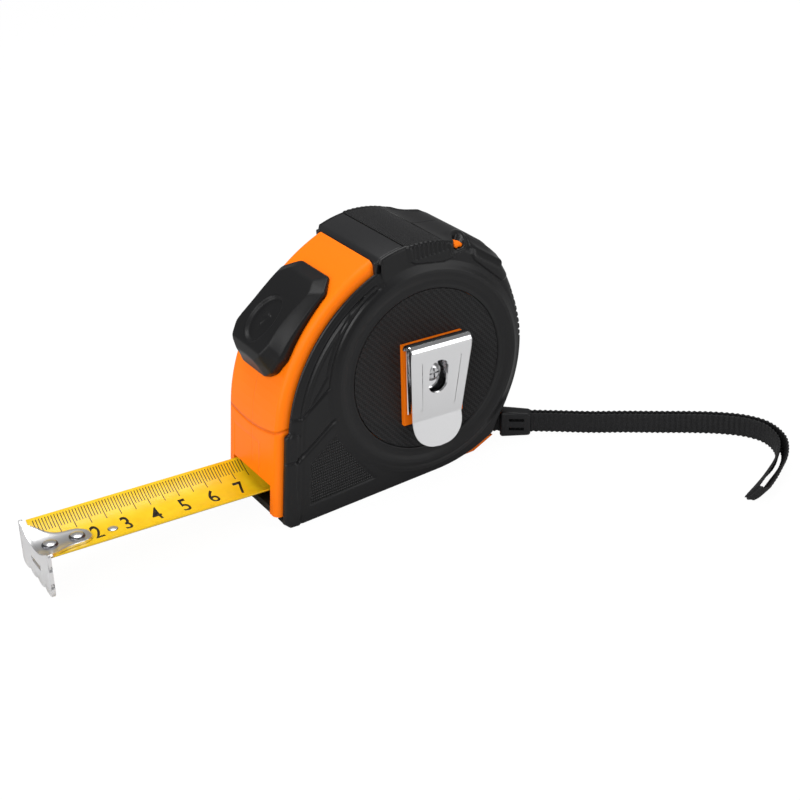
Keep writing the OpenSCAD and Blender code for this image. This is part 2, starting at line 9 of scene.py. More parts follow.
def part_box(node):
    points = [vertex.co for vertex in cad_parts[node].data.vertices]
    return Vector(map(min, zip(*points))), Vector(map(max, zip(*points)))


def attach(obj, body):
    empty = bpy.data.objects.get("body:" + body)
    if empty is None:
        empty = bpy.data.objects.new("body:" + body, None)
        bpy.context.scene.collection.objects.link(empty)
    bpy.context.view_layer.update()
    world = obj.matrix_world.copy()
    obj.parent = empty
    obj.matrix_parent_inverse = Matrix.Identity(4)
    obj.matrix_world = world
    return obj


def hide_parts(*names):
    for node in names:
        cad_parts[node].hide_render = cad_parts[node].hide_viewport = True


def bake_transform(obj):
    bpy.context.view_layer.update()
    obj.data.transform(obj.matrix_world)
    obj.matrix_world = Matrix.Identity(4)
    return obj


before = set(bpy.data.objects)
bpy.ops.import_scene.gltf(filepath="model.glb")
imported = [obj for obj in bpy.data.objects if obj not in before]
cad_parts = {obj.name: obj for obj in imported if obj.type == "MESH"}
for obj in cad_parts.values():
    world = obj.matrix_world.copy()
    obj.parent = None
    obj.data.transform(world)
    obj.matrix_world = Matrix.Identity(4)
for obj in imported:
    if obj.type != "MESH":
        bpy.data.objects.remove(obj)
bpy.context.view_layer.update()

# ---------------------------------------------------------------------------------------------
# Camera: stands half a metre off, to the front left of the clip side. It looks down on the case
# and is slightly rolled.
# ---------------------------------------------------------------------------------------------
MM = 0.001
LOOK_AT = Vector((0, 0, 18.73)) * MM
DISTANCE = 531.84 * MM
TURN = math.radians(-29.10)
RISE = math.radians(28.62)
ROLL = math.radians(-5.77)

backward = Vector((math.sin(TURN) * math.cos(RISE), -math.cos(TURN) * math.cos(RISE), math.sin(RISE)))
level_right = Vector((math.cos(TURN), math.sin(TURN), 0))
level_up = backward.cross(level_right)
right = math.cos(ROLL) * level_right + math.sin(ROLL) * level_up
up = backward.cross(right)


def stand(name, data):
    """Puts an object with these contents into the scene."""
    made = bpy.data.objects.new(name, data)
    bpy.context.collection.objects.link(made)
    return made


camera = stand("camera", bpy.data.cameras.new("camera"))
camera.data.sensor_width = 36
camera.data.lens = 70.46
camera.data.clip_start = 0.01
camera.matrix_world = Matrix.Translation(LOOK_AT + DISTANCE * backward) @ Matrix(
    (right, up, backward)).transposed().to_4x4()
bpy.context.scene.camera = camera
bpy.context.scene.view_settings.view_transform = "Standard"

# ---------------------------------------------------------------------------------------------
# Studio: a white sheet under the tape, four soft boxes round it and a plain white surround that
# is bright to look at but lights the tape only a little.
# ---------------------------------------------------------------------------------------------
class Wire:
    """A socket in a node tree. Operators add Math nodes, and node() adds any other node."""

    def __init__(self, tree, socket=None):
        self.tree = tree
        self.socket = socket

    def feed(self, socket, value):
        if isinstance(value, Wire):
            self.tree.links.new(value.socket, socket)
        else:
            socket.default_value = value

    def node(self, kind, inputs=(), out=0, **settings):
        new = self.tree.nodes.new("ShaderNode" + kind)
        for key, value in settings.items():
            setattr(new, key, value)
        for key, value in dict(inputs).items():
            self.feed(new.inputs[key], value)
        return Wire(self.tree, new.outputs[out])

    def maths(self, operation, *values):
        return self.node("Math", enumerate(values), operation=operation)

    def noise(self, scale, detail):
        """Noise over the piece's own coordinates."""
        place = self.node("TexCoord", out="Object")
        return self.node("TexNoise", {"Vector": place, "Scale": scale, "Detail": detail})

    def relief(self, shader, height, strength, depth, **under):
        """Presses a height into the shader's surface. A bump below it is given as Normal."""
        bump = self.node("Bump", {"Height": height, "Strength": strength, "Distance": depth, **under})
        self.feed(shader.inputs["Normal"], bump)

    def tone(self, shader, value, low, high):
        """Colours the shader from a value, between two stops of a place and a colour."""
        shade = self.node("ValToRGB", {"Fac": value})
        for stop, (place, colour) in zip(shade.socket.node.color_ramp.elements, (low, high)):
            stop.position = place
            stop.color = (*colour, 1)
        self.feed(shader.inputs["Base Color"], shade)

    def __add__(self, other):
        return self.maths("ADD", self, other)

    def __sub__(self, other):
        return self.maths("SUBTRACT", self, other)

    def __mul__(self, other):
        return self.maths("MULTIPLY", self, other)


def new_finish(name, colour, roughness, metallic=0.0, specular=0.28):
    """A material with its constant values set, its shader, and a Wire to build on."""
    material = bpy.data.materials.new(name)
    material.use_nodes = True
    shader = material.node_tree.nodes["Principled BSDF"]
    shader.inputs["Base Color"].default_value = (*colour, 1)
    shader.inputs["Roughness"].default_value = roughness
    shader.inputs["Metallic"].default_value = metallic
    shader.inputs["Specular IOR Level"].default_value = 0.5 if metallic else specular
    return material, shader, Wire(material.node_tree)


FLOOR_HALF = 3.0
FLOOR_SHADE = 0.62
FLOOR_DROP = -0.02 * MM
FLOOR_SEEN = 0.92
SURROUND = 0.24
sheet = bpy.data.meshes.new("floor")
sheet.from_pydata([(FLOOR_HALF * side, FLOOR_HALF * end, FLOOR_DROP)
                   for side, end in ((-1, -1), (1, -1), (1, 1), (-1, 1))], [], [(0, 1, 2, 3)])
floor = stand("floor", sheet)
material, shader, w = new_finish("white_paper", (FLOOR_SHADE, FLOOR_SHADE, FLOOR_SHADE), 0.6)
seen = w.node("LightPath", out="Is Camera Ray")
paper_white = w.node("Emission", {"Color": (1, 1, 1, 1), "Strength": 1.05})
blend_white = w.node("MixShader", {0: seen * FLOOR_SEEN, 1: Wire(w.tree, shader.outputs[0]), 2: paper_white})
material.node_tree.links.new(blend_white.socket, material.node_tree.nodes["Material Output"].inputs[0])
floor.data.materials.append(material)

world = bpy.data.worlds.new("surround")
bpy.context.scene.world = world
world.use_nodes = True
w = Wire(world.node_tree)
seen = w.node("LightPath", out="Is Camera Ray")
clear = Wire(w.tree, seen.socket.node.outputs["Is Transmission Ray"])
white = w.maths("MAXIMUM", seen, clear)
backdrop = world.node_tree.nodes["Background"]
backdrop.inputs["Color"].default_value = (1, 1, 1, 1)
w.feed(backdrop.inputs["Strength"], white * (1 - SURROUND) + SURROUND)


def soft_box(name, place, aim, width, height, power):
    lamp = bpy.data.lights.new(name, "AREA")
    lamp.shape = "RECTANGLE"
    lamp.size = width
    lamp.size_y = height
    lamp.energy = power
    holder = stand(name, lamp)
    holder.location = place
    holder.rotation_euler = (Vector(place) - Vector(aim)).to_track_quat("Z", "Y").to_euler()


AIM = (0, 0, 0.04)
soft_box("key", (-0.75, -0.55, 0.75), AIM, 0.6, 0.5, 5.9)
soft_box("overhead", (0.10, 0.15, 0.95), AIM, 0.7, 0.5, 5.8)
soft_box("fill", (0.60, -0.80, 0.35), AIM, 0.5, 0.7, 2.9)
soft_box("nose_light", (-1.0, 0.05, 0.30), AIM, 0.5, 0.5, 3.4)

# ---------------------------------------------------------------------------------------------
# Wrist strap: one length of ribbed black webbing, 7.5 mm wide. It stands on its edge beside the
# case, runs out through its slide, folds back on itself and is sewn round a pin in the case.
# ---------------------------------------------------------------------------------------------
STRAP_W = 7.5
STRAP_T = 1.1
LAYER = 0.95
FOLD_R = 1.7
FOLD_STEPS = 6
SPREAD_FROM = 9
ROUTE = [Vector(p) for p in (
    (21, -12.2, 7.4), (28.5, -15.5, 7), (37, -21.5, 6.2), (46, -27, 5), (55, -33.5, 4.1),
    (64, -40.5, 3.9), (73, -48.5, 3.9), (81, -55.5, 3.9), (88, -62.5, 3.9), (93, -69.5, 3.9),
    (95, -77, 3.9), (92.5, -85.5, 3.9), (86, -92, 3.9), (77.5, -96.5, 3.9), (69, -100.5, 3.9))]


def heading(points, i):
    step = points[min(i + 1, len(points) - 1)] - points[max(i - 1, 0)]
    return Vector((step.x, step.y, 0)).normalized()


def across(direction):
    return Vector((-direction.y, direction.x, 0))


def strap_side(i, sign):
    last = len(ROUTE) - 1
    opening = max(0, (i - SPREAD_FROM) / (last - SPREAD_FROM)) ** 2
    offset = LAYER + (FOLD_R - LAYER) * opening
    return ROUTE[i] + across(heading(ROUTE, i)) * sign * offset


end_way = heading(ROUTE, len(ROUTE) - 1)
fold = []
for k in range(1, FOLD_STEPS):
    angle = math.pi / 2 - math.pi * k / FOLD_STEPS
    fold.append(ROUTE[-1] + FOLD_R * (end_way * math.cos(angle) + across(end_way) * math.sin(angle)))
strap_line = [strap_side(i, 1) for i in range(len(ROUTE))] + fold
strap_line += [strap_side(i, -1) for i in reversed(range(len(ROUTE)))]


def smooth_line(points, step):
    """Points every step along a Catmull-Rom curve through the given points."""
    p = np.array([tuple(q) for q in points])
    p = np.vstack([2 * p[0] - p[1], p, 2 * p[-1] - p[-2]])
    t = np.linspace(0, 1, 24, endpoint=False)[:, None]
    parts = []
    for a, b, c, d in zip(p[:-3], p[1:-2], p[2:-1], p[3:]):
        parts.append(0.5 * (2 * b + (c - a) * t + (2 * a - 5 * b + 4 * c - d) * t ** 2
                            + (3 * b - a - 3 * c + d) * t ** 3))
    dense = np.vstack(parts + [p[-2:-1]])
    run = np.concatenate([[0], np.cumsum(np.linalg.norm(np.diff(dense, axis=0), axis=1))])
    count = int(run[-1] / step) + 1
    at = np.linspace(0, run[-1], count)
    return np.stack([np.interp(at, run, dense[:, k]) for k in range(3)], axis=1), at


def grid_piece(name, points, wrap_u=False, wrap_v=False, caps=False):
    """A smooth-shaded mesh from an (n, m, 3) block of points in millimetres."""
    n, m = points.shape[:2]
    u = np.arange(n if wrap_u else n - 1)
    v = np.arange(m if wrap_v else m - 1)
    a, b = np.meshgrid(u, v, indexing="ij")
    a, b = a.ravel(), b.ravel()
    a2, b2 = (a + 1) % n, (b + 1) % m
    faces = np.stack([a * m + b, a2 * m + b, a2 * m + b2, a * m + b2], axis=1).tolist()
    if caps:
        faces.append([k for k in range(m)])
        faces.append([(n - 1) * m + k for k in reversed(range(m))])
    mesh = bpy.data.meshes.new(name)
    mesh.from_pydata((points.reshape(-1, 3) * MM).tolist(), [], faces)
    mesh.shade_smooth()
    tidy = bmesh.new()
    tidy.from_mesh(mesh)
    bmesh.ops.recalc_face_normals(tidy, faces=tidy.faces)
    tidy.to_mesh(mesh)
    tidy.free()
    return stand(name, mesh)


def fit(piece, body, slot, material, *nodes):
    """Gives a piece its material and its body, and lets it stand for the named CAD nodes."""
    if not piece.data.materials:
        piece.data.materials.append(material)
    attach(piece, body)
    if nodes:
        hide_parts(*nodes)
    return piece


RIB_PITCH = 1.8
RIB_DEPTH = 0.18
EDGE_WAVE = 0.12
LEAN_LEN = 38.0
LEAN = math.radians(38)
SECTION_PARTS = 28
STRAP_STEP = 0.32
strap_centres, strap_run = smooth_line(strap_line, STRAP_STEP)
strap_len = strap_run[-1]
ways = np.gradient(strap_centres, axis=0)
ways[:, 2] = 0
ways /= np.linalg.norm(ways, axis=1)[:, None]
sideways = np.stack([-ways[:, 1], ways[:, 0], np.zeros(len(ways))], axis=1)
turn = np.linspace(0, 2 * math.pi, SECTION_PARTS, endpoint=False)
flat_c = np.sign(np.cos(turn)) * np.abs(np.cos(turn)) ** 0.35
flat_s = np.sign(np.sin(turn)) * np.abs(np.sin(turn)) ** 0.75
wave = np.cos(2 * math.pi * strap_run / RIB_PITCH)
half_t = STRAP_T / 2 - RIB_DEPTH + RIB_DEPTH * wave
half_w = STRAP_W / 2 - EDGE_WAVE + EDGE_WAVE * wave
from_case = np.minimum(strap_run, strap_len - strap_run)
fold_start = (strap_len - math.pi * FOLD_R) / 2
before_fold = np.minimum(from_case, fold_start)
lean_way = np.stack([np.interp(before_fold, strap_run, sideways[:, k]) for k in range(3)], axis=1)
lean = np.clip((from_case - fold_start + LEAN_LEN) / LEAN_LEN, 0, 1)
lean = LEAN * lean * lean * (3 - 2 * lean)
strap_centres[:, 2] -= STRAP_W / 2 * (1 - np.cos(lean))
rise = lean_way * np.sin(lean)[:, None] + np.array([0, 0, 1.0]) * np.cos(lean)[:, None]
strap_points = (strap_centres[:, None, :]
                + sideways[:, None, :] * (half_t[:, None] * flat_c[None, :])[:, :, None]
                + rise[:, None, :] * (half_w[:, None] * flat_s[None, :])[:, :, None])
half_way = len(strap_centres) // 2
material, shader, w = new_finish("webbing", (0.008, 0.008, 0.009), 0.6, specular=0.25)
fibres = w.noise(2600.0, 4.0)
w.tone(shader, fibres, (0.35, (0.004, 0.004, 0.0045)), (0.7, (0.016, 0.016, 0.017)))
w.relief(shader, fibres, 0.5, 0.0001)
straps = []
for name, rows in (("strap_outward", slice(0, half_way + 1)), ("strap_return", slice(half_way, None))):
    run = grid_piece(name, strap_points[rows], wrap_v=True, caps=True)
    fit(run, "case", "webbing", material, "wrist_strap")
    straps.append((run, [tuple(p) for p in strap_centres[rows] * MM]))

# ---------------------------------------------------------------------------------------------
# Strap slide: a small moulded buckle that grips the two layers of webbing near the case. It is
# black nylon with two slits through its broad side.
# ---------------------------------------------------------------------------------------------
SLIDE_L = 10.6
SLIDE_T = 5.4
SLIDE_H = 9.8
SLIDE_DROP = 0.5
SLIDE_PLAY = (0.6, 0.3)
SLIT_L = 5.2
SLIT_H = 1.1
SLIT_X = 0.4
SLIT_Z = (1.9, -1.5)
REAR_TAPER = (0.92, 0.86)


def cast(name, shape):
    """Turns a bmesh into a piece of the scene."""
    mesh = bpy.data.meshes.new(name)
    shape.to_mesh(mesh)
    shape.free()
    return stand(name, mesh)


def block(name, size, place=(0, 0, 0)):
    """A box of a size in millimetres, with its middle at a place."""
    shape = bmesh.new()
    bmesh.ops.create_cube(shape, size=1)
    bmesh.ops.scale(shape, vec=Vector(size) * MM, verts=shape.verts)
    bmesh.ops.translate(shape, vec=Vector(place) * MM, verts=shape.verts)
    return cast(name, shape)


def settle(piece):
    """Applies a piece's modifiers to its mesh."""
    bpy.context.view_layer.update()
    shape = bpy.data.meshes.new_from_object(piece.evaluated_get(bpy.context.evaluated_depsgraph_get()))
    piece.modifiers.clear()
    piece.data = shape
    return piece


def cut(piece, tool):
    """Cuts a tool's shape out of a piece and takes the tool away."""
    saw = piece.modifiers.new("cut", "BOOLEAN")
    saw.operation = "DIFFERENCE"
    saw.object = tool
    saw.solver = "EXACT"
    settle(piece)
    bpy.data.objects.remove(tool)
    return piece


def soften(piece, width, segments=3, angle=30):
    """Rounds a piece's sharp edges by a width in millimetres."""
    edge = piece.modifiers.new("rounded_edges", "BEVEL")
    edge.width = width * MM
    edge.segments = segments
    edge.limit_method = "ANGLE"
    edge.angle_limit = math.radians(angle)
    edge.harden_normals = False
    return piece


slide = block("strap_slide", (SLIDE_L, SLIDE_T, SLIDE_H))
for corner in slide.data.vertices:
    if corner.co.x > 0:
        corner.co.y *= REAR_TAPER[0]
        corner.co.z *= REAR_TAPER[1]
soften(slide, 1.1, 4)
settle(slide)
cut(slide, block("tool", (2 * SLIDE_L, 2 * LAYER + STRAP_T + SLIDE_PLAY[0], STRAP_W + SLIDE_PLAY[1])))
for slit_z in SLIT_Z:
    cut(slide, block("tool", (SLIT_L, 2 * SLIDE_T, SLIT_H), (SLIT_X, 0, slit_z)))
soften(slide, 0.15, 2, 40)
settle(slide)
slide.data.shade_smooth()
slide_run = ROUTE[2] - ROUTE[1]
slide_pitch = math.atan2(-slide_run.z, math.hypot(slide_run.x, slide_run.y))
slide_middle = 0.4 * ROUTE[1] + 0.6 * ROUTE[2] - Vector((0, 0, SLIDE_DROP))
slide_place = (Matrix.Translation(slide_middle * MM)
               @ Matrix.Rotation(math.atan2(slide_run.y, slide_run.x), 4, "Z")
               @ Matrix.Rotation(slide_pitch, 4, "Y"))
slide.data.transform(slide_place)


def moulded(name, colour, roughness, grain, depth, mottle=0.12, specular=0.28):
    """Moulded plastic or rubber with a fine spark grain and slight changes of gloss."""
    material, shader, w = new_finish(name, colour, roughness, specular=specular)
    w.feed(shader.inputs["Roughness"], w.noise(70.0, 5.0) * mottle + (roughness - mottle / 2))
    w.relief(shader, w.noise(grain, 3.0), 0.6, depth)
    return material


slide_nylon = moulded("slide_nylon", (0.008, 0.008, 0.009), 0.42, 2200.0, 0.00004)
fit(slide, "case", "slider_plastic", slide_nylon, "strap_slider")
for run, path in straps:
    length = sum((Vector(b) - Vector(a)).length for a, b in zip(path, path[1:]))
    path[::6] + [path[-1]]

# ---------------------------------------------------------------------------------------------
# Case shells: two orange ABS mouldings that meet on the centre line. Only the brow, the nose and
# parts of the base show; the rubber skins cover the rest.
# ---------------------------------------------------------------------------------------------
def dress(node, material, round_mm=0.0, segments=2, angle=35):
    """Keeps a CAD node as it is, with a finish of its own and, where asked, softened edges."""
    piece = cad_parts[node]
    piece.data.materials.clear()
    piece.data.materials.append(material)
    if round_mm:
        soften(piece, round_mm, segments, angle)
    return piece


ORANGE = (1.0, 0.195, 0.003)
# A deeper orange, used for the painted shade in the nose crease and for the darker joint line.
CREASE_PAINTED_SHADE_AND_JOINT = (0.86, 0.195 * 0.72, 0.003)
orange = moulded("orange_abs", ORANGE, 0.42, 1500.0, 0.00002, specular=0.12)
CREASE = (30.3, -0.06, 0.0078)
CREASE_W = 0.5
NOSE_FROM = -30
SUNK_TOP = 25.8
SUNK_ENDS = (-5.0, 12.5)
JOINT_W = 0.16
JOINT_FROM = 17


def axes_of(place):
    """The X, Y and Z of a place."""
    split = place.node("SeparateXYZ", {0: place}).socket.node
    return [Wire(place.tree, out) for out in split.outputs]


def shell_finish():
    """The orange with a moulded crease across the nose, a faint sunk panel and the joint line. Painted shade
    darkens the crease, and the joint line is a darker orange.
    """
    material, shader, w = new_finish("orange_nose", ORANGE, 0.42, specular=0.12)
    place = w.node("TexCoord", out="Object")
    x, y, z = axes_of(place)
    on_nose = w.maths("LESS_THAN", x, NOSE_FROM * MM)
    line = y * y * (CREASE[2] / MM) + y * CREASE[1] + CREASE[0] * MM
    off = (z - line) * (1 / (CREASE_W * MM))
    crease = w.maths("EXPONENT", off * off * -1.0) * on_nose
    above = w.maths("GREATER_THAN", z, JOINT_FROM * MM)
    joint = w.maths("EXPONENT", y * y * (-1 / (JOINT_W * MM) ** 2)) * above * on_nose
    inside = w.node("MapRange", {0: z, 1: (SUNK_TOP + 0.5) * MM, 2: (SUNK_TOP - 0.5) * MM})
    for end, way in zip(SUNK_ENDS, (-0.4, 0.4)):
        inside = inside * w.node("MapRange", {0: y, 1: (end + way) * MM, 2: (end - way) * MM})
    sunk = crease + joint * 0.25 + inside * on_nose * 0.55
    pressed = w.node("Bump", {"Height": sunk * -1.0, "Strength": 1.0, "Distance": 0.0004})
    w.relief(shader, w.noise(1500.0, 3.0), 0.6, 0.00002, Normal=pressed)
    # Painted shade in the crease, and the darker joint line, tint the orange towards the deeper colour.
    w.tone(shader, crease + joint * 0.35, (0.0, ORANGE), (1.0, CREASE_PAINTED_SHADE_AND_JOINT))
    return material


nose_orange = shell_finish()
for node in ("case_shell_left", "case_shell_right"):
    dress(node, nose_orange)

# ---------------------------------------------------------------------------------------------
# Rubber grips: a soft black skin is moulded over each shell. It has a dished ring round the disc,
# a bevelled front edge, a crescent panel, a knurled corner pad and lugs over the shoulder.
# ---------------------------------------------------------------------------------------------
HALF_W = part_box("side_disc_left")[1].y / MM - 0.5
SHELL_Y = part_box("case_shell_left")[1].y / MM
SKIN = 1.6
REEL = np.array([0.0, 38.9])
DISC_R = 27.6
CASE_TOP = 82.7
REAR = 37.5
BROW_C = np.array([6.007, 22.009])
BROW_R = 58.0
BROW_TOP_X = -14.4
VISOR_TO = -3.5
BAND_TO = 10.5
FOOT_TO = 1.5
LIP = 1.1
SHOULDER_LIP = 1.5
STEP_R = 59.5
STEP_Z = 32.6
EDGE_STEP = 0.38


def arc_points(centre, radius, start, end, step=0.25):
    count = max(2, int(abs(math.radians(end - start)) * radius / step))
    angle = np.radians(np.linspace(start, end, count))
    return np.stack([centre[0] + radius * np.cos(angle), centre[1] + radius * np.sin(angle)], axis=1)


def resample(points, step, closed=False):
    if closed:
        points = np.vstack([points, points[:1]])
    run = np.concatenate([[0], np.cumsum(np.linalg.norm(np.diff(points, axis=0), axis=1))])
    at = np.linspace(0, run[-1], int(run[-1] / step) + 1, endpoint=not closed)
    return np.stack([np.interp(at, run, points[:, k]) for k in range(2)], axis=1)


def nose_x(radius, z):
    start = BROW_C + radius * np.array([math.cos(math.radians(171)), math.sin(math.radians(171))])
    return start[0] - (start[1] - z) * math.tan(math.radians(9))


outline = np.vstack([
    arc_points((-1.5, CASE_TOP - 36.7), 36.7, 108, 52),
    arc_points((REAR - 52.5, 42.5), 52.5, 27, -37),
    arc_points((0.7, 49.2), 49.2, -62, -90),
    [[nose_x(STEP_R, 2) + 2, 0], [nose_x(STEP_R, 2), 2], [nose_x(STEP_R, STEP_Z - 0.5), STEP_Z - 0.5],
     [nose_x(STEP_R, STEP_Z) + 0.5, STEP_Z], [nose_x(BROW_R, STEP_Z + 0.4), STEP_Z + 0.4]],
    arc_points(BROW_C, BROW_R, 169, 90 + math.degrees(math.asin((BROW_C[0] - BROW_TOP_X) / BROW_R)))])
outline = resample(outline, EDGE_STEP, closed=True)
ahead = np.roll(outline, -2, axis=0) - np.roll(outline, 2, axis=0)
ahead /= np.linalg.norm(ahead, axis=1)[:, None]
outward = np.stack([ahead[:, 1], -ahead[:, 0]], axis=1)
if np.mean(np.sum(outward * (outline - REEL), axis=1)) < 0:
    outward = -outward


def ramp(value, start, end):
    t = np.clip((value - start) / (end - start), 0, 1)
    return t * t * (3 - 2 * t)


def to_line(x, z, line):
    """Distance from points to a polyline."""
    best = np.full(x.shape, 1e9)
    for (ax, az), (bx, bz) in zip(line[:-1], line[1:]):
        dx, dz = bx - ax, bz - az
        t = np.clip(((x - ax) * dx + (z - az) * dz) / (dx * dx + dz * dz), 0, 1)
        best = np.minimum(best, np.hypot(x - ax - t * dx, z - az - t * dz))
    return best


def depth_in(x, z, polygon):
    """Signed distance into a convex or concave polygon, positive inside."""
    closed = list(polygon) + [polygon[0]]
    inside = np.zeros(x.shape, bool)
    for (ax, az), (bx, bz) in zip(closed[:-1], closed[1:]):
        crosses = (az > z) != (bz > z)
        with np.errstate(divide="ignore", invalid="ignore"):
            at = (bx - ax) * (z - az) / (bz - az) + ax
        inside ^= crosses & (x < at)
    away = to_line(x, z, closed)
    return np.where(inside, away, -away)


CREST = ((27.6, 0.55), (28.0, 0.75), (29.0, 0.62), (30.4, 0.72), (31.8, 1.12), (32.9, 1.3), (34.0, 1.15),
         (35.2, 0.55), (36.6, 0.0))
BAND_R = 53.7
FRONT_C = BROW_C + np.array([-0.8, 0.9])
PANEL = np.vstack([arc_points(FRONT_C, BAND_R, 164.5, 112, 1.5), arc_points(REEL, 35.9, 114, 171, 1.5),
                   [[-46.6, 37.2]]])
PANEL_INNER = np.vstack([arc_points(REEL, 37.4, 122, 165, 1.5), [[-44.6, 38.8]]])
NOTCHES = (((-46.7, 37.1), (-54.6, 38.4)), ((-48.0, 31.9), (-58.0, 33.2)), ((-49.4, 22.9), (-60.0, 24.0)))
SEAM = ((-49.8, 22.9), (-42.4, 27.6), (-35.0, 32.6))
PAD = ((-46.0, 20.6), (-35.2, 27.6), (-32.0, 21.9), (-28.6, 15.5), (-22.4, 6.1), (-48.2, 5.4))
FRONT_BLOCK = ((-70.0, 33.6), (-51.9, 32.9), (-48.4, 32.2), (-49.8, 23.4), (-51.6, 14.0), (-52.4, -5.0),
               (-70.0, -5.0))
LUG = ((-4.0, 90.0), (-2.4, 77.6), (-0.8, 76.4), (9.8, 74.2), (12.2, 74.5), (13.6, 90.0))
LUG_RIBS = 7
SHOULDER = ((18.4, 90.0), (19.8, 73.2), (21.2, 70.8), (31.0, 60.6), (33.4, 60.8), (42.0, 66.0))

# Areas with their height and where their slope starts and ends, then grooves with width and depth.
RAISED = ((FRONT_BLOCK, 0.5, -0.2, 0.4), (PANEL, 0.28, -0.2, 0.5), (PAD, -0.35, 0.0, 0.6),
          (SHOULDER, 0.7, -0.5, 0.3))
GROOVES = [(np.vstack([PANEL, PANEL[:1]]), 0.42, 0.5), (SEAM, 0.6, 0.75)]
GROOVES += [(line, 0.4, 0.5) for line in NOTCHES]
INNER_GROOVE = (0.34, 0.35)
BEVEL_DROP = 1.3
BEVEL_GROOVE = (0.4, 0.25)
LUG_LIFT = 0.75
LUG_RIB = 0.22


def side_height(x, z):
    """How far the side's surface stands out of its flat level."""
    r = np.hypot(x - REEL[0], z - REEL[1])
    b = np.hypot(x - BROW_C[0], z - BROW_C[1])
    straight = BROW_R - (x - nose_x(BROW_R, z)) * math.cos(math.radians(9))
    b = np.where(z < 31.1, straight, b)
    h = np.interp(r, [c[0] for c in CREST], [c[1] for c in CREST])
    front = x < BROW_TOP_X + 2
    band = np.clip((b - BAND_R) / (BROW_R - BAND_R), 0, 1) * (1 - 0.5 * (1 - ramp(z, STEP_Z - 1, STEP_Z + 1)))
    edge = BEVEL_GROOVE[1] * np.exp(-((b - BAND_R) / BEVEL_GROOVE[0]) ** 2)
    h = h - np.where(front, BEVEL_DROP * band + edge, 0)
    for area, lift, start, end in RAISED:
        h = h + lift * ramp(depth_in(x, z, area), start, end)
    for line, width, depth in GROOVES:
        h = h - depth * np.exp(-(to_line(x, z, line) / width) ** 2)
    inner = np.exp(-(to_line(x, z, PANEL_INNER) / INNER_GROOVE[0]) ** 2)
    h = h - INNER_GROOVE[1] * inner * (depth_in(x, z, PANEL) > -0.3)
    lug = depth_in(x, z, LUG)
    h = np.where(lug > -0.7, np.maximum(h, -0.2) + LUG_LIFT * ramp(lug, -0.7, 0.2), h)
    ribs = LUG_RIB * np.sin((x + 1.5) / 11.5 * LUG_RIBS * 2 * math.pi) - 0.1
    return h + np.where((lug > 0.9) & (z > 77.6), ribs, 0)


def lerp(a, b, t):
    return a + (b - a) * t


WINDOW_AT = 15.5
WINDOW_HALF = (2.2, 4.3)
WINDOW_IN = 1.9
WINDOW_DEPTH = 3.8
WINDOW_RIM = 0.45
WINDOW_REACH = 8
WINDOW_WALL = 0.6
DOME = 3.2
BLOCK_LIFT = 0.7
SLANT = 0.35
RIB_ROWS = 8
RIB_FROM = 38.5
RIB_TO = 56.0
RIB_DEEP = 0.6
FACE_PARTS = 74
LIP_PARTS = 7
RIM_PARTS = 44
SCREW_AT = ((-37.0, 21.0), (-24.0, 63.5), (24.3, 15.8), (24.5, 64.0))
SCREW_HOLE = 2.6


def masked_piece(name, points, mask):
    """A thin shell over the part of a grid where the mask holds."""
    index = np.full(mask.shape, -1)
    index[mask] = np.arange(mask.sum())
    corners = np.stack([index[:-1, :-1], index[1:, :-1], index[1:, 1:], index[:-1, 1:]], axis=-1)
    corners = corners.reshape(-1, 4)
    mesh = bpy.data.meshes.new(name)
    mesh.from_pydata((points[mask] * MM).tolist(), [], corners[(corners >= 0).all(axis=1)].tolist())
    piece = stand(name, mesh)
    wall = piece.modifiers.new("wall", "SOLIDIFY")
    wall.thickness = WINDOW_WALL * MM
    wall.offset = 0
    settle(piece)
    piece.data.shade_smooth()
    return piece


def upright(points, sign):
    """Side points (x, z, height off the middle) as points of the scene."""
    return np.stack([points[:, :, 0], sign * points[:, :, 2], points[:, :, 1]], axis=2)


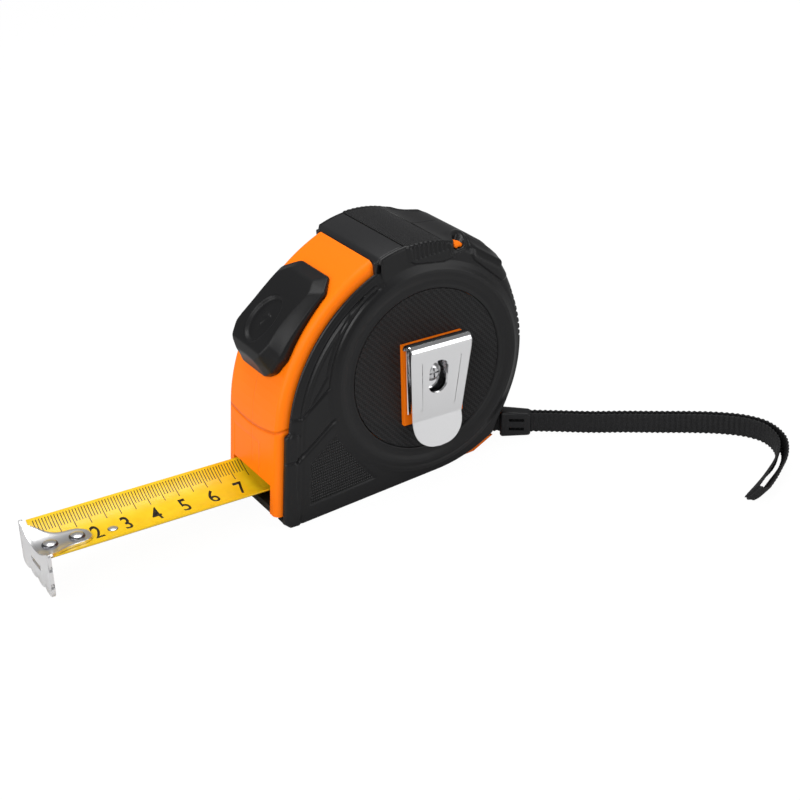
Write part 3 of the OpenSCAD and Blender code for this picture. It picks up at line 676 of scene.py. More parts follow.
def grip(name, sign):
    """One skin and its window: rows of points from the disc's seat out over the rim and back in."""
    count = len(outline)
    ray = outline - REEL
    ray /= np.linalg.norm(ray, axis=1)[:, None]
    inner = REEL + DISC_R * ray
    x, z = outline[:, 0], outline[:, 1]
    lip = LIP + SHOULDER_LIP * ramp(x, 11.5, 16) * ramp(z, 40, 55)
    kerb = outline - outward * lip[:, None]
    top = (x >= BROW_TOP_X) & (x <= BAND_TO) & (z > 60)
    rear = (x > BAND_TO) & (z > 16)
    foot = (x <= FOOT_TO) & (z < 1.6)
    rim_end = np.full(count, SHELL_Y + 0.05)
    rim_end[top] = HALF_W - 1.1
    rim_end[rear] = 0.05
    rim_end[foot] = 13.55
    t = np.linspace(0, 1, FACE_PARTS)
    face = inner[:, None, :] + (kerb - inner)[:, None, :] * t[None, :, None]
    height = side_height(face[:, :, 0], face[:, :, 1])
    if sign > 0:
        for px, pz in SCREW_AT:
            pit = ramp(SCREW_HOLE - np.hypot(face[:, :, 0] - px, face[:, :, 1] - pz), -0.15, 0.15)
            height = lerp(height, SHELL_Y + 0.15 - HALF_W, pit)
    back_in = np.concatenate([inner, np.full((count, 1), SHELL_Y + 0.06)], axis=1)
    rows = [np.concatenate([face, (HALF_W + height)[:, :, None]], axis=2)]
    edge_y = HALF_W + height[:, -1]
    edge_r = np.minimum(lip, edge_y - rim_end - 0.02)
    for k in range(1, LIP_PARTS + 1):
        a = math.pi / 2 * k / LIP_PARTS
        flat = kerb + outward * (lip * math.sin(a))[:, None]
        rows.append(np.column_stack([flat, edge_y - edge_r * (1 - math.cos(a))])[:, None, :])
    rim_from = edge_y - edge_r
    for k in range(1, RIM_PARTS + 1):
        y = lerp(rim_from, rim_end, k / RIM_PARTS)
        rows.append(np.column_stack([outline, y])[:, None, :])
    body = np.concatenate(rows, axis=1)
    # The window, dome and ribs run round the shoulder, so they are pressed along the skin's own slope.
    along = np.cumsum(np.linalg.norm(outline - np.roll(outline, 1, axis=0), axis=1))
    near = np.argmin(np.hypot(x - WINDOW_AT, z - 77.0))
    du = (along - along[near])[:, None]
    dv = (HALF_W - body[:, :, 2]) - np.linalg.norm(body[:, :, :2] - outline[:, None, :], axis=2)
    lean = (du - SLANT * dv) / WINDOW_HALF[0]
    far = np.hypot(lean, (dv - WINDOW_IN) / WINDOW_HALF[1])
    press = -WINDOW_DEPTH * ramp(1.0 - far, -0.02, 0.1) * (np.abs(du) < WINDOW_REACH)
    press += WINDOW_RIM * np.exp(-((far - 1.35) / 0.28) ** 2) * (np.abs(du) < WINDOW_REACH + 1) * (dv > -5)
    dome = ramp(x, 12, 22) * (1 - ramp(x, 27, 37)) * (z > 40)
    press += DOME * dome[:, None] * ramp(dv, 0.5, 9.0)
    on_block = ramp(x, 20.2, 21.0) * (1 - ramp(x, 31.6, 32.3)) * (z > 60)
    press += BLOCK_LIFT * on_block[:, None] * ramp(dv, -0.5, 0.2) * (1 - ramp(dv, 5.2, 6.0))
    rib_span = (z > RIB_FROM) & (z < RIB_TO) & (x > 20)
    wave = 0.5 + 0.5 * np.cos((z - RIB_FROM) / (RIB_TO - RIB_FROM) * RIB_ROWS * 2 * math.pi)
    across_rib = ramp(dv, -1.2, -0.6) * (1 - ramp(dv, 3.6, 4.4))
    press -= RIB_DEEP * (rib_span * ramp(wave, 0.55, 0.9))[:, None] * across_rib
    hold = np.where(rim_end[:, None] > 1, np.clip((body[:, :, 2] - rim_end[:, None]) / 0.8, 0, 1), 1)
    slope = np.clip((dv + 1.2) / 2.0, 0, 1)[:, :, None]
    way = np.concatenate([np.repeat(outward[:, None, :], body.shape[1], axis=1) * slope, 1 - slope], axis=2)
    way /= np.linalg.norm(way, axis=2)[:, :, None]
    lens = body - way * (0.2 + 0.6 * far ** 2)[:, :, None]
    window = masked_piece(name.replace("skin", "window"), upright(lens, sign),
                          (far < 0.97) & (np.abs(du) < WINDOW_REACH))
    body = body + way * (press * hold)[:, :, None]
    inside = outline - outward * (SKIN - 0.1)
    skin = np.concatenate([
        back_in[:, None, :], body,
        np.column_stack([inside, rim_end])[:, None, :],
        np.column_stack([inside, np.full(count, SHELL_Y + 0.06)])[:, None, :]], axis=1)
    return grid_piece(name, upright(skin, sign), wrap_u=True, wrap_v=True), window


rubber = moulded("grip_rubber", (0.007, 0.007, 0.0076), 0.36, 1900.0, 0.00003)
grips = []
for side, sign in (("right", -1), ("left", 1)):
    skin_piece, window = grip(f"rubber_skin_{side}", sign)
    grips.append(fit(skin_piece, "case", "black_rubber", rubber, f"rubber_grip_{side}"))
    fit(window, "case", "orange_shell", orange)


def patterned(name, colour, roughness, pattern, depth, dark, stops, metallic=0.0, strength=1.0):
    """A finish with a pressed pattern, with painted shade darkening its hollows. The pattern is a function of
    the place.
    """
    material, shader, w = new_finish(name, colour, roughness, metallic=metallic)
    height = pattern(w.node("TexCoord", out="Object"))
    w.relief(shader, height, strength, depth)
    # Painted shade: the base colour darkens towards the pattern's low places, where shade would fall.
    hollow = tuple(dark * c for c in colour)
    w.tone(shader, height * 0.5 + 0.5, (stops[0], hollow), (stops[1], colour))
    return material


def waves(value, pitch):
    return value.maths("SINE", value * (2 * math.pi / (pitch * MM)))


def pad_knurl(place):
    x, y, z = axes_of(place)
    return waves(x * 1.3 + z, 2.0) * waves(x * 1.3 - z, 2.0)


pad_rubber = patterned("pad_rubber", (0.030, 0.030, 0.031), 0.45, pad_knurl, 0.00035, 0.15, (0.3, 0.7))
for piece in grips:
    piece.data.materials.append(pad_rubber)
    middles = np.array([tuple(f.center) for f in piece.data.polygons]) / MM
    on_pad = (depth_in(middles[:, 0], middles[:, 2], PAD) > 0.8) & (np.abs(middles[:, 1]) > HALF_W - 1.5)
    piece.data.polygons.foreach_set("material_index", on_pad.astype(np.int32))

# ---------------------------------------------------------------------------------------------
# Side discs: flat rubber plates let into the middle of each skin, pressed with short dashes in
# slanting rows. The one on the clip side is pierced by the clip's screw.
# ---------------------------------------------------------------------------------------------
DISC_TURN = math.radians(38)


def dimples(place):
    """Short dashes in slanting rows, as on a rasp."""
    x, y, z = axes_of(place.node("Mapping", {"Vector": place, "Rotation": (0, DISC_TURN, 0)}))
    rows = waves(z, 0.95)
    dashes = place.maths("SINE", x * (2 * math.pi / (1.5 * MM)) + rows * 1.2)
    return rows * dashes


disc_rubber = patterned("disc_rubber", (0.019, 0.019, 0.020), 0.5, dimples, 0.00025, 0.2, (0.25, 0.75))
for node in ("side_disc_left", "side_disc_right"):
    dress(node, disc_rubber, 0.25)

# ---------------------------------------------------------------------------------------------
# Visor and grip band: two rubber mouldings that bridge the top. The smooth visor overhangs the
# orange brow, and the band behind it is knurled for the palm.
# ---------------------------------------------------------------------------------------------
TOP_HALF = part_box("top_visor")[1].y / MM


def prism(name, near_loop, far_loop, triangles=False):
    """A solid between two outlines of as many points, in millimetres."""
    shape = bmesh.new()
    near_ring = [shape.verts.new(Vector(p) * MM) for p in near_loop]
    far_ring = [shape.verts.new(Vector(p) * MM) for p in far_loop]
    shape.faces.new(near_ring)
    shape.faces.new(list(reversed(far_ring)))
    for k in range(len(near_ring)):
        n = (k + 1) % len(near_ring)
        shape.faces.new((near_ring[k], far_ring[k], far_ring[n], near_ring[n]))
    if triangles:
        bmesh.ops.triangulate(shape, faces=[f for f in shape.faces if len(f.verts) > 4])
    bmesh.ops.recalc_face_normals(shape, faces=shape.faces)
    return cast(name, shape)


def bridge(name, profile, rounding, segments):
    """A closed side profile run right across the case, with its edges rounded."""
    near_loop, far_loop = ([(px, y, pz) for px, pz in profile] for y in (-TOP_HALF, TOP_HALF))
    piece = prism(name, near_loop, far_loop)
    settle(soften(piece, rounding, segments, 25))
    piece.data.shade_smooth()
    return piece


CROWN_C = (-1.5, CASE_TOP - 36.7)
CROWN_R = 36.7


def crown_at(x, drop=0.0):
    return CROWN_C[1] + math.sqrt((CROWN_R - drop) ** 2 - (x - CROWN_C[0]) ** 2)


VISOR_LOW = CASE_TOP - 3.7
visor_top = [(px, crown_at(px)) for px in np.linspace(-12.8, VISOR_TO - 0.1, 8)]
visor_under = [(px, crown_at(px, SKIN - 0.05)) for px in np.linspace(VISOR_TO - 0.1, -12.0, 6)]
visor = bridge("visor", visor_top + visor_under + [(-12.9, 77.5), (-14.3, VISOR_LOW)], 0.7, 3)
smooth_rubber = moulded("visor_rubber", (0.012, 0.012, 0.013), 0.42, 1900.0, 0.00003)
fit(visor, "case", "black_rubber", smooth_rubber, "top_visor")
CHEEK = (3.8, 1.8, 5.4)
for sign in (-1, 1):
    cheek = block("visor_cheek", CHEEK, (-12.7, sign * (TOP_HALF - CHEEK[1] / 2), 77.2))
    fit(settle(soften(cheek, 0.5, 3)), "case", "black_rubber", smooth_rubber)

band_top = [(px, crown_at(px)) for px in np.linspace(VISOR_TO + 0.1, BAND_TO - 0.15, 10)]
band_under = [(px, crown_at(px, SKIN - 0.05)) for px in np.linspace(BAND_TO - 0.15, VISOR_TO + 0.1, 8)]
band = bridge("grip_band", band_top + band_under, 0.45, 2)


def band_knurl(place):
    x, y, z = axes_of(place)
    return waves(x + y * 0.6, 1.2) * waves(x - y * 0.6, 1.2)


band_rubber = patterned("band_rubber", (0.016, 0.016, 0.017), 0.5, band_knurl, 0.00025, 0.5, (0.25, 0.75))
fit(band, "case", "knurled_rubber", band_rubber, "top_grip_band")

# ---------------------------------------------------------------------------------------------
# Mouth bumper: a black rubber lip under the blade, let into both shells. It takes the knock of the
# hook when the blade runs home.
# ---------------------------------------------------------------------------------------------
dress("mouth_bumper", moulded("bumper_rubber", (0.012, 0.012, 0.013), 0.55, 1500.0, 0.00004), 0.5, 3)

# ---------------------------------------------------------------------------------------------
# Lock button: a glossy black moulding that slides down the brow. It rises to a ridge near its
# lower end, has bevelled flanks and an oval dish for the thumb with a plain arrow in it.
# ---------------------------------------------------------------------------------------------
BUTTON_R = 61.8
BUTTON_LOW_A = 154.6
BUTTON_TOP_A = 120.8
BUTTON_LIFT = ((120.8, 1.6), (125.0, 3.0), (132.0, 4.2), (137.0, 5.2), (143.5, 6.7), (148.5, 7.5),
               (151.5, 6.5), (154.6, 4.6))
BUTTON_ARC = math.radians(BUTTON_LOW_A - BUTTON_TOP_A) * BUTTON_R
half_s = BUTTON_ARC / 2
BUTTON_PLAN = ((-half_s, -8.6), (-half_s + 5.0, -13.6), (-4.0, -14.1), (half_s - 8.0, -14.4),
               (half_s - 2.5, -11.4), (half_s, -7.4), (half_s, 7.4), (half_s - 2.5, 11.4),
               (half_s - 8.0, 14.4), (-4.0, 14.1), (-half_s + 5.0, 13.6), (-half_s, 8.6))
DISH_AT = 2.8
DISH_HALF = (7.8, 6.6)
DISH_DEEP = 1.15
DISH_CROWN = 0.35
ARROW = ((2.2, 0.0), (-1.6, -2.3), (-1.6, 2.3))
ARROW_HIGH = 0.3
FLANK_W = 3.6
EDGE_SHARE = 0.45
PLAN_RAYS = 200
PLAN_RINGS = 46


def ray_reach(polygon, angle):
    """Distance from the middle to a convex outline along each angle."""
    reach = np.full(angle.shape, 1e9)
    c, s = np.cos(angle), np.sin(angle)
    for (ax, ay), (bx, by) in zip(polygon, polygon[1:] + polygon[:1]):
        nx, ny = by - ay, ax - bx
        if nx * ax + ny * ay < 0:
            nx, ny = -nx, -ny
        along_ray = nx * c + ny * s
        to_side = (nx * ax + ny * ay) / np.maximum(along_ray, 1e-6)
        reach = np.where(along_ray > 1e-6, np.minimum(reach, to_side), reach)
    return reach


def button_point(s, y, h):
    """A point of the button: s down the brow's arc, y across, h out of it."""
    angle = np.radians(BUTTON_TOP_A) + (s + half_s) / BUTTON_R
    radius = BUTTON_R + h
    return np.stack([BROW_C[0] + radius * np.cos(angle), y, BROW_C[1] + radius * np.sin(angle)], axis=-1)


spin = np.linspace(0, 2 * math.pi, PLAN_RAYS, endpoint=False)
reach = ray_reach(list(BUTTON_PLAN), spin)
reach = (reach + np.roll(reach, 1) + np.roll(reach, -1)) / 3
rings = []
for k in range(PLAN_RINGS + 1):
    t = (k / PLAN_RINGS) ** 0.8
    s = reach * t * np.cos(spin)
    y = reach * t * np.sin(spin)
    top_angle = BUTTON_TOP_A + np.degrees((s + half_s) / BUTTON_R)
    lift = np.interp(top_angle, [b[0] for b in BUTTON_LIFT], [b[1] for b in BUTTON_LIFT])
    from_edge = reach * (1 - t) * 0.9
    flank = np.clip(from_edge / FLANK_W, 0, 1)
    h = lift * lerp(EDGE_SHARE, 1, lerp(flank, flank * flank * (3 - 2 * flank), 0.15))
    dish = np.hypot((s - DISH_AT) / DISH_HALF[0], y / DISH_HALF[1])
    h = h - DISH_DEEP * ramp(1.0 - dish, -0.03, 0.16) + DISH_CROWN * ramp(1.0 - dish, 0.2, 1.0)
    h = h + ARROW_HIGH * ramp(depth_in(s - DISH_AT, y, ARROW), -0.15, 0.15)
    rings.append(button_point(s, y, h))
skirt = np.maximum(lift * EDGE_SHARE - 0.3, 0.2)
for share, h in ((1.012, skirt), (1.012, 0.0), (0.9, 0.0), (0.02, 0.0)):
    rings.append(button_point(s * share, y * share, h))
button = grid_piece("thumb_button", np.stack(rings, axis=0), wrap_v=True)


def weld(piece, distance=0.002):
    """Joins points that lie together and closes what is left open."""
    shape = bmesh.new()
    shape.from_mesh(piece.data)
    bmesh.ops.remove_doubles(shape, verts=shape.verts, dist=distance * MM)
    holes = [e for e in shape.edges if e.is_boundary]
    if holes:
        bmesh.ops.holes_fill(shape, edges=holes, sides=0)
    bmesh.ops.recalc_face_normals(shape, faces=shape.faces)
    shape.to_mesh(piece.data)
    shape.free()
    piece.data.shade_smooth()


def crisp(piece, angle=35):
    """Leaves edges sharper than an angle unsmoothed."""
    piece.data.set_sharp_from_angle(angle=math.radians(angle))


weld(button)
button_gloss = moulded("button_gloss", (0.007, 0.007, 0.0075), 0.4, 1500.0, 0.00002, 0.08, 0.2)
fit(button, "lock", "gloss_button", button_gloss, "lock_button")

# ---------------------------------------------------------------------------------------------
# Lock works: a grey nylon slide behind the brow carries the button. Its rubber shoe brakes the
# blade, and a click spring of bent steel holds it at either end.
# ---------------------------------------------------------------------------------------------
def metal(name, colour, roughness):
    """Bright metal with faint rubbing marks, and painted shade: ambient occlusion darkens its base colour in
    corners and creases.
    """
    material, shader, w = new_finish(name, colour, roughness, metallic=1.0)
    marks = w.noise(300.0, 5.0)
    painted_crevice_occlusion = w.node("AmbientOcclusion", {"Distance": 0.8 * MM}, out="AO", samples=8)
    # Painted shade: where ambient occlusion finds a corner or crease, the base colour falls to near black.
    w.tone(shader, painted_crevice_occlusion, (0.25, (0.08, 0.08, 0.08)), (0.7, colour))
    w.feed(shader.inputs["Roughness"], marks * 0.08 + (roughness - 0.04))
    w.relief(shader, marks, 0.06, 0.00002)
    return material


zinc = metal("zinc_steel", (0.62, 0.62, 0.63), 0.3)
dress("lock_carrier", moulded("grey_nylon", (0.14, 0.14, 0.15), 0.5, 900.0, 0.00003))
dress("brake_pad", moulded("shoe_rubber", (0.03, 0.03, 0.03), 0.7, 900.0, 0.00005))
dress("lock_spring", zinc)

# ---------------------------------------------------------------------------------------------
# Reel: a white nylon drum and its cover turn on a fixed steel post with a washer at each side.
# The mainspring is wound inside the drum and the blade on it.
# ---------------------------------------------------------------------------------------------
nylon = moulded("white_nylon", (0.80, 0.79, 0.75), 0.45, 700.0, 0.00002)
for node in ("reel_drum", "reel_cover", "thrust_washers"):
    dress(node, nylon)
dress("axle_pin", zinc)


def wound(pitch):
    """Edges of a wound strip, seen as fine rings about the reel's axis."""
    def pattern(place):
        centred = place.node("VectorMath", {0: place, 1: (0, 0, REEL[1] * MM)}, operation="SUBTRACT")
        flat = place.node("VectorMath", {0: centred, 1: (1, 0, 1)}, operation="MULTIPLY")
        return waves(place.node("VectorMath", {0: flat}, operation="LENGTH", out="Value"), pitch)
    return pattern


# Both coils are darker between their turns: painted shade from patterned().
for node, name, colour, roughness, pitch, metallic in (
        ("mainspring", "blued_spring", (0.20, 0.24, 0.30), 0.35, 0.6, 1.0),
        ("blade_coil", "coiled_blade", (0.85, 0.55, 0.02), 0.4, 0.45, 0.0)):
    dress(node, patterned(name, colour, roughness, wound(pitch), 0.0001, 0.5, (0.1, 0.6), metallic, 0.8))

# ---------------------------------------------------------------------------------------------
# Blade: spring steel with a hollow section, lacquered yellow on both faces. Black millimetre
# marks run along its far edge, longer at each 5 and 10, with a number at each centimetre.
# ---------------------------------------------------------------------------------------------
yellow, shader, w = new_finish("yellow_lacquer", (0.88, 0.57, 0.008), 0.36, specular=0.3)
rub = w.noise(260.0, 6.0)
w.tone(shader, rub, (0.3, (0.84, 0.53, 0.006)), (0.7, (0.90, 0.60, 0.010)))
w.feed(shader.inputs["Roughness"], rub * 0.15 + 0.26)
shader.inputs["Coat Weight"].default_value = 0.12
shader.inputs["Coat Roughness"].default_value = 0.15
for node in ("blade", "blade_span"):
    dress(node, yellow)

BLADE_RISE = math.radians(4.5)
BLADE_OUT = 73.0
BLADE_W = 25.0
BLADE_SAG = 4.6
BLADE_T = 0.3
ARC_R = ((BLADE_W / 2) ** 2 + BLADE_SAG ** 2) / (2 * BLADE_SAG)
MOUTH_Z = 7.7
mouth_x = nose_x(BROW_R + 3.5, MOUTH_Z)
zero = Vector((mouth_x - BLADE_OUT * math.cos(BLADE_RISE), 0, MOUTH_Z + BLADE_OUT * math.sin(BLADE_RISE)))
blade_frame = Matrix.Translation(zero) @ Matrix.Rotation(BLADE_RISE, 4, "Y")
INK_LIFT = 0.012
INK_T = 0.03


def hollow_point(x, v, lift):
    """A point over the blade's hollow: x from the hook, v round the section, lift off its inner face."""
    radius = ARC_R - BLADE_T - lift
    return (x, radius * math.sin(v / ARC_R), ARC_R - radius * math.cos(v / ARC_R))


def on_blade(x, v, lift):
    return blade_frame @ Vector(hollow_point(x, v, lift))


def ink_patch(shape, x0, x1, v0, v1):
    """A thin bar of ink that follows the hollow, let into the lacquer."""
    steps = max(1, int(abs(v1 - v0) / 0.8))
    rows = []
    for k in range(steps + 1):
        v = lerp(v0, v1, k / steps)
        rows.append([shape.verts.new(on_blade(px, v, lift) * MM)
                     for px, lift in ((x0, INK_LIFT), (x1, INK_LIFT), (x1, -INK_T), (x0, -INK_T))])
    for low, high in zip(rows[:-1], rows[1:]):
        for k in range(4):
            n = (k + 1) % 4
            shape.faces.new((low[k], low[n], high[n], high[k]))
    shape.faces.new(rows[0])
    shape.faces.new(list(reversed(rows[-1])))


SCALE_EDGE = 13.0
TICK_W = 0.27
MARK_LEN = 4.7
LONG_MARK_LEN = 7.2
ticks = bmesh.new()
for mm in range(3, 76):
    length = MARK_LEN if mm % 5 else LONG_MARK_LEN
    ink_patch(ticks, mm - TICK_W / 2, mm + TICK_W / 2, SCALE_EDGE - length, SCALE_EDGE)
bmesh.ops.recalc_face_normals(ticks, faces=ticks.faces)
tick_piece = cast("scale_marks", ticks)
ink, shader, w = new_finish("printed_ink", (0.012, 0.011, 0.010), 0.45)
w.feed(shader.inputs["Roughness"], w.noise(3000.0, 2.0) * 0.2 + 0.3)
fit(tick_piece, "blade", "yellow_blade", ink)

NUMBER_H = 7.5
NUMBER_V = 0.5
NARROW = 0.62
ROW = 0.8
FONT_SCALE = 1.42
BOLDER = 0.13
NUMBER_BACK = 0.6
for number in range(2, 8):
    text = bpy.data.curves.new("number", "FONT")
    text.body = str(number)
    text.size = NUMBER_H * FONT_SCALE * MM
    text.align_x = "CENTER"
    text.align_y = "CENTER"
    text.offset = BOLDER * MM
    writer = stand("number", text)
    bpy.context.view_layer.update()
    shape = bpy.data.meshes.new_from_object(writer.evaluated_get(bpy.context.evaluated_depsgraph_get()))
    bpy.data.objects.remove(writer)
    digit = bmesh.new()
    digit.from_mesh(shape)
    bpy.data.meshes.remove(shape)
    bmesh.ops.triangulate(digit, faces=digit.faces)
    low = min(v.co.y for v in digit.verts)
    high = max(v.co.y for v in digit.verts)
    middle = sum(f(v.co.x for v in digit.verts) for f in (min, max)) / 2
    for k in range(1, int((high - low) / MM / ROW)):
        everything = list(digit.verts) + list(digit.edges) + list(digit.faces)
        row = (0, low + k * ROW * MM, 0)
        bmesh.ops.bisect_plane(digit, geom=everything, plane_co=row, plane_no=(0, 1, 0))
    lid = bmesh.ops.extrude_face_region(digit, geom=list(digit.faces))
    lifted = {v for v in lid["geom"] if isinstance(v, bmesh.types.BMVert)}
    for v in digit.verts:
        along_x = number * 10 - NUMBER_BACK + NARROW * (v.co.x - middle) / MM
        round_v = NUMBER_V + (v.co.y - (low + high) / 2) / MM
        v.co = on_blade(along_x, round_v, INK_LIFT if v in lifted else -INK_T) * MM
    bmesh.ops.recalc_face_normals(digit, faces=digit.faces)
    fit(cast(f"number_{number}", digit), "blade", "yellow_blade", ink)

# ---------------------------------------------------------------------------------------------
# Hook: nickel-plated steel, riveted loosely into the blade's hollow so that it can slide by about
# its own thickness. Its face has a slot for a nail head and a scalloped lower edge.
# ---------------------------------------------------------------------------------------------
nickel = metal("bright_nickel", (0.82, 0.82, 0.83), 0.3)
HOOK_T = 1.1
HOOK_HALF = 13.0
HOOK_DROP = 9.6
TONGUE_END = 17.5
RIVET_X = (4.0, 12.8)
THIRD_X = 24.5
FLARE = ((0.0, 11.6), (1.5, 11.2), (3.0, 9.8), (4.5, 8.0), (6.0, 6.6), (7.5, 5.7), (9.0, 5.2), (10.5, 5.0),
         (12.0, 5.0), (13.5, 4.8), (15.0, 4.2), (16.3, 3.1), (17.1, 1.9), (TONGUE_END, 0.4))
SLOT_Z = -3.4
LOBE = 6.5
NOTCH_RISE = 1.5
SIDE_NOTCHES = (-5.2, 0.8)
NOTCH_IN = 0.7
NAIL_SLOT = (6, 8.5, 1.7)
END_ROUND = 1.2
END_DROP = 0.45
EDGE_DROP = 0.3


def two_sided(name, shells, caps):
    """A plate from the points of its two faces."""
    return grid_piece(name, np.concatenate([shells[0], shells[1][:, ::-1]], axis=1), wrap_v=True, caps=caps)


def hook_plate():
    """The tongue: a plate that follows the hollow, flared where it meets the face."""
    stations = np.linspace(-HOOK_T * 0.9, TONGUE_END, 90)
    cross = np.linspace(-1, 1, 61)
    shells = []
    for lift, outer in ((0.02, 0), (HOOK_T, 1)):
        rows = []
        for px in stations:
            half = np.interp(px, [p[0] for p in FLARE], [p[1] for p in FLARE])
            near_end = max(0.0, (px - TONGUE_END + END_ROUND) / END_ROUND)
            drop = END_DROP * (1 - math.sqrt(max(0.0, 1 - near_end ** 2)))
            rows.append([hollow_point(px, half * c, 0.1 + lift - outer * (drop + EDGE_DROP * abs(c) ** 12))
                         for c in cross])
        shells.append(np.array(rows))
    return two_sided("hook_tongue", shells, caps=True)


def face_outline():
    """The face's outline in its own plane, half of it mirrored: y across, z up from the blade's line."""
    half = []
    for y in np.linspace(0, HOOK_HALF - 0.8, 31):
        across_lobe = min(1.0, abs((y % LOBE) - LOBE / 2) / (LOBE / 2))
        half.append((y, -HOOK_DROP + NOTCH_RISE * (1 - math.sqrt(1 - across_lobe ** 2))))
    half += [(HOOK_HALF - 0.2, -HOOK_DROP + 1.5), (HOOK_HALF, -HOOK_DROP + 2.4)]
    for height in SIDE_NOTCHES:
        half += [(HOOK_HALF, height - 0.9), (HOOK_HALF - NOTCH_IN, height - 0.35),
                 (HOOK_HALF - NOTCH_IN, height + 0.35), (HOOK_HALF, height + 0.9)]
    half += [(HOOK_HALF, BLADE_SAG + 0.4), (HOOK_HALF - 0.6, BLADE_SAG + 1.0)]
    rim = [hollow_point(0, v, HOOK_T + 0.1)[1:] for v in np.linspace(12.3, 0, 16)]
    return half + rim


def hook_face():
    half = face_outline()
    loop = half + [(-y, z) for y, z in reversed(half[1:-1])]
    near_loop = [(-HOOK_T, y, z) for y, z in loop]
    face = prism("hook_face", near_loop, [(0, y, z) for y, z in loop], triangles=True)
    return cut(face, soften(block("tool", NAIL_SLOT, (0, 0, SLOT_Z)), 0.8, 4))


def place_in(piece, frame_matrix):
    """Moves a piece made at the origin into a frame whose place is in millimetres."""
    piece.data.transform(Matrix.Translation(frame_matrix.translation * MM) @ frame_matrix.to_3x3().to_4x4())
    return piece


tongue = place_in(hook_plate(), blade_frame)
face = place_in(hook_face(), blade_frame)
face.data.shade_flat()
soften(face, 0.25, 3, 30)
settle(face)
face.data.shade_smooth()
join = bmesh.new()
join.from_mesh(tongue.data)
join.from_mesh(face.data)
join.to_mesh(face.data)
join.free()
bpy.data.objects.remove(tongue)
face.name = "hook_body"
crisp(face, 40)
fit(face, "hook", "chromed_steel", nickel, "hook")


def turned(name, profile, frame_matrix, place, rim=0.0, parts=40):
    """A round piece from its half profile of (radius, height). Faces under the rim height take slot 1, where
    the rivets carry a painted dark reflection.
    """
    angle = np.linspace(0, 2 * math.pi, parts, endpoint=False)
    rows = [np.stack([r * np.cos(angle), r * np.sin(angle), np.full(parts, h)], axis=1) for r, h in profile]
    piece = grid_piece(name, np.array(rows), wrap_v=True, caps=True)
    weld(piece, 0.001)
    crisp(piece)
    heights = np.array([f.center.z for f in piece.data.polygons]) / MM
    piece.data.polygons.foreach_set("material_index", (heights < rim).astype(np.int32))
    piece.data.transform(Matrix.Translation(Vector(place) * MM))
    return place_in(piece, frame_matrix)


def dome_profile(radius, height, base, steps=7):
    """Half profile of a domed head on a thinner shank."""
    shank = [(radius * 0.5, -0.6), (radius * 0.5, base - 0.05), (radius, base - 0.05)]
    rise = [(radius * math.cos(math.pi / 2 * k / steps), base + height * math.sin(math.pi / 2 * k / steps))
            for k in range(steps)]
    return shank + rise + [(0.02, base + height)]


RIVET_BASE = 0.35 + HOOK_T
THIRD_BASE = 0.3
# The rivets' lower rims take a near-black steel: a painted dark reflection round the foot of each rivet.
painted_rim_reflection = metal("rivet_rim_painted_reflection", (0.12, 0.12, 0.13), 0.35)
for name, px, radius, height, base, rim, node in (
        ("rivet_0", RIVET_X[0], 2.6, 1.15, RIVET_BASE, 0.7, "hook_rivets"),
        ("rivet_1", RIVET_X[1], 2.6, 1.15, RIVET_BASE, 0.7, "hook_rivets"),
        ("third_rivet", THIRD_X, 1.7, 0.5, THIRD_BASE, 0.2, "blade_rivet")):
    rivet = turned(name, dome_profile(radius, height, base), blade_frame, (px, 0, 0), base + rim)
    fit(rivet, "blade", "chromed_steel", nickel, node)
    rivet.data.materials.append(painted_rim_reflection)

# ---------------------------------------------------------------------------------------------
# Belt clip: one strip of chromed spring steel, bent over at its top. The plate is screwed down
# through the orange pad, and the leaf is pressed with a tapered panel and a turned-out tongue.
# ---------------------------------------------------------------------------------------------
CLIP_C = Vector((0.8, 0, 35.8))
CLIP_LEAN = math.radians(4.5)
CLIP_W = 23.0
CLIP_LOW_W = 19.0
CLIP_T = 0.9
PAD_T = 1.5
PAD_FACE = HALF_W + 0.5 + PAD_T
BEND_IN = 1.9
BEND_Z = 28.4 / 2 - 1.6
BEND_Y = -PAD_FACE - CLIP_T - BEND_IN
LEAF_LOW = -13.0
LEAF_TIP = -22.8
LEAF_LOW_Y = -PAD_FACE - CLIP_T - 0.5
LEAF_TIP_Y = LEAF_LOW_Y - 1.9
clip_frame = Matrix.Translation(CLIP_C * MM) @ Matrix.Rotation(CLIP_LEAN, 4, "Y")


def bend_line(start, end, count):
    """The bend's middle line between two angles, as Y and Z in the clip's own frame."""
    radius = BEND_IN + CLIP_T / 2
    return [(BEND_Y + radius * math.cos(a), BEND_Z + radius * math.sin(a))
            for a in np.radians(np.linspace(start, end, count))]


def strip(name, line, half_widths, emboss=None):
    """A bent strip of clip steel from a middle line in the clip's own Y and Z."""
    line = np.array(line)
    ways = np.gradient(line, axis=0)
    ways /= np.linalg.norm(ways, axis=1)[:, None]
    out = np.stack([ways[:, 1], -ways[:, 0]], axis=1)
    cross = 97
    v = np.linspace(-1, 1, cross)
    shells = []
    for side in (1, -1):
        rows = []
        for (ly, lz), n, half in zip(line, out, half_widths):
            px = v * half
            lift = np.zeros(cross) if emboss is None else emboss(px, np.full(cross, lz), ly)
            round_off = np.where(np.abs(v) > 0.985, 0.75, 1.0)
            offset = side * CLIP_T / 2 * round_off + lift
            rows.append(np.stack([px, ly + n[0] * offset, lz + n[1] * offset], axis=1))
        shells.append(np.array(rows))
    piece = two_sided(name, shells, caps=False)
    weld(piece, 0.0005)
    crisp(piece, 50)
    piece.data.transform(clip_frame)
    return piece


PANEL_LINE = ((-7.6, 8.6), (-6.4, -8.4), (6.0, -8.6), (7.2, 8.4))


def leaf_emboss(px, pz, ly):
    line = list(PANEL_LINE)
    near = np.minimum(to_line(px, pz, line[:2]), to_line(px, pz, line[2:]))
    return 0.35 * np.exp(-(near / 0.38) ** 2) * (ly < -PAD_FACE - CLIP_T)


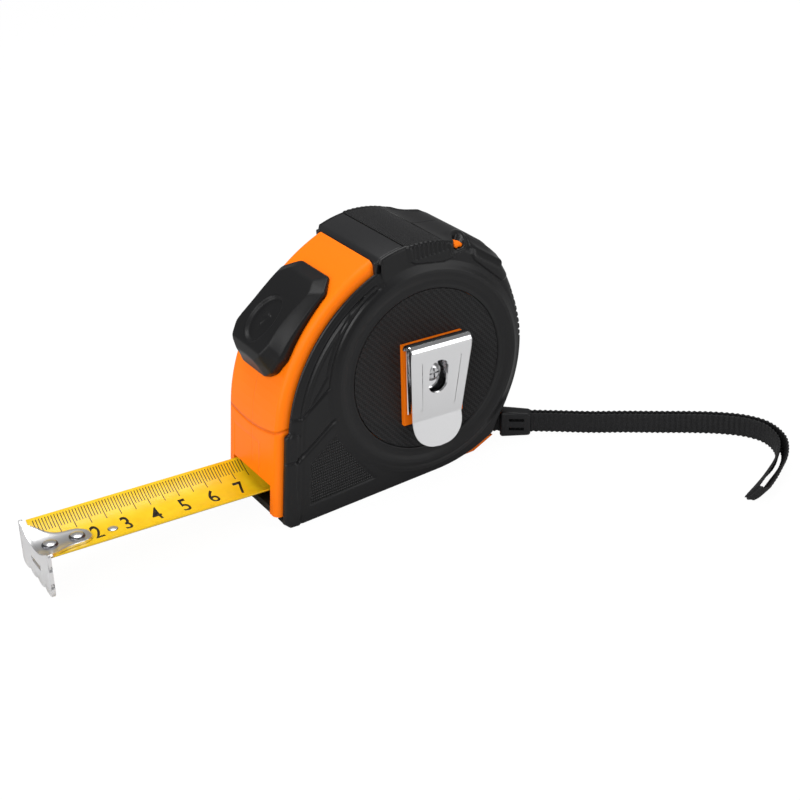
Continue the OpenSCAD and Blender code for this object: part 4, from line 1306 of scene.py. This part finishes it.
PLATE_HALF = (10.5, 11.4)
PLATE_ROWS = 12
BEND_SPLIT = (84, 96)
BEND_HALF = 11.45
plate_line = [(-PAD_FACE - CLIP_T / 2, z) for z in np.linspace(-10, BEND_Z, PLATE_ROWS)]
plate_line += bend_line(0, BEND_SPLIT[0], 16)[1:]
plate = strip("clip_plate", plate_line, [PLATE_HALF[k >= PLATE_ROWS] for k in range(len(plate_line))])
middle_line = bend_line(*BEND_SPLIT, 8)
clip_bend = strip("clip_bend", middle_line, [BEND_HALF] * len(middle_line))
leaf_line = bend_line(BEND_SPLIT[1], 180, 16)
for low_y, low_z, steps in ((LEAF_LOW_Y, LEAF_LOW, 60), (LEAF_TIP_Y, LEAF_TIP, 40)):
    start, end = np.array(leaf_line[-1]), np.array((low_y - CLIP_T / 2, low_z))
    leaf_line += [tuple(lerp(start, end, t)) for t in np.linspace(0, 1, steps)[1:]]


def leaf_half(z):
    if z > BEND_Z - 2:
        return CLIP_W / 2
    if z > LEAF_LOW:
        return lerp(CLIP_LOW_W / 2, CLIP_W / 2, (z - LEAF_LOW) / (BEND_Z - 2 - LEAF_LOW))
    down = (LEAF_LOW - z) / (LEAF_LOW - LEAF_TIP)
    return max(0.05, CLIP_LOW_W / 2 * (1 - min(1.0, down) ** 2.6) ** 0.45)


leaf = strip("clip_spring_leaf", leaf_line, [leaf_half(z) for _, z in leaf_line], leaf_emboss)
SLOT_R = 3.6
SLOT_LEN = 5.0
SLOT_OFF = -0.6
SLOT_REACH = 11
loop = []
for a in np.linspace(0, 2 * math.pi, 48, endpoint=False):
    px = SLOT_OFF + SLOT_R * math.cos(a)
    pz = SLOT_R * math.sin(a) + (SLOT_LEN if math.sin(a) > 0 else 0)
    loop.append((px, pz))
near_loop, far_loop = ([(px, y, pz) for px, pz in loop] for y in (-PAD_FACE, -PAD_FACE - SLOT_REACH))
slot_tool = prism("slot_tool", near_loop, far_loop)
slot_tool.data.transform(clip_frame)
cut(leaf, slot_tool)

chrome = metal("chromed_steel", (0.80, 0.80, 0.81), 0.12)
fit(plate, "case", "chromed_steel", chrome, "belt_clip")
fit(leaf, "clip_leaf", "chromed_steel", chrome, "clip_leaf")
clip_bend.data.materials.append(chrome)
bend_mid = clip_frame @ Vector((0, BEND_Y * MM, BEND_Z * MM))
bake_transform(clip_bend)

# ---------------------------------------------------------------------------------------------
# Clip fixings and case screws: the orange pad keys the clip to the disc, and a cross-head screw
# holds both to the axle. Four more screws close the case, and a pin holds the strap.
# ---------------------------------------------------------------------------------------------
dress("clip_pad", orange, 0.35)
dress("clip_screw", zinc)
dress("case_screws", zinc)
dress("strap_pin", zinc)
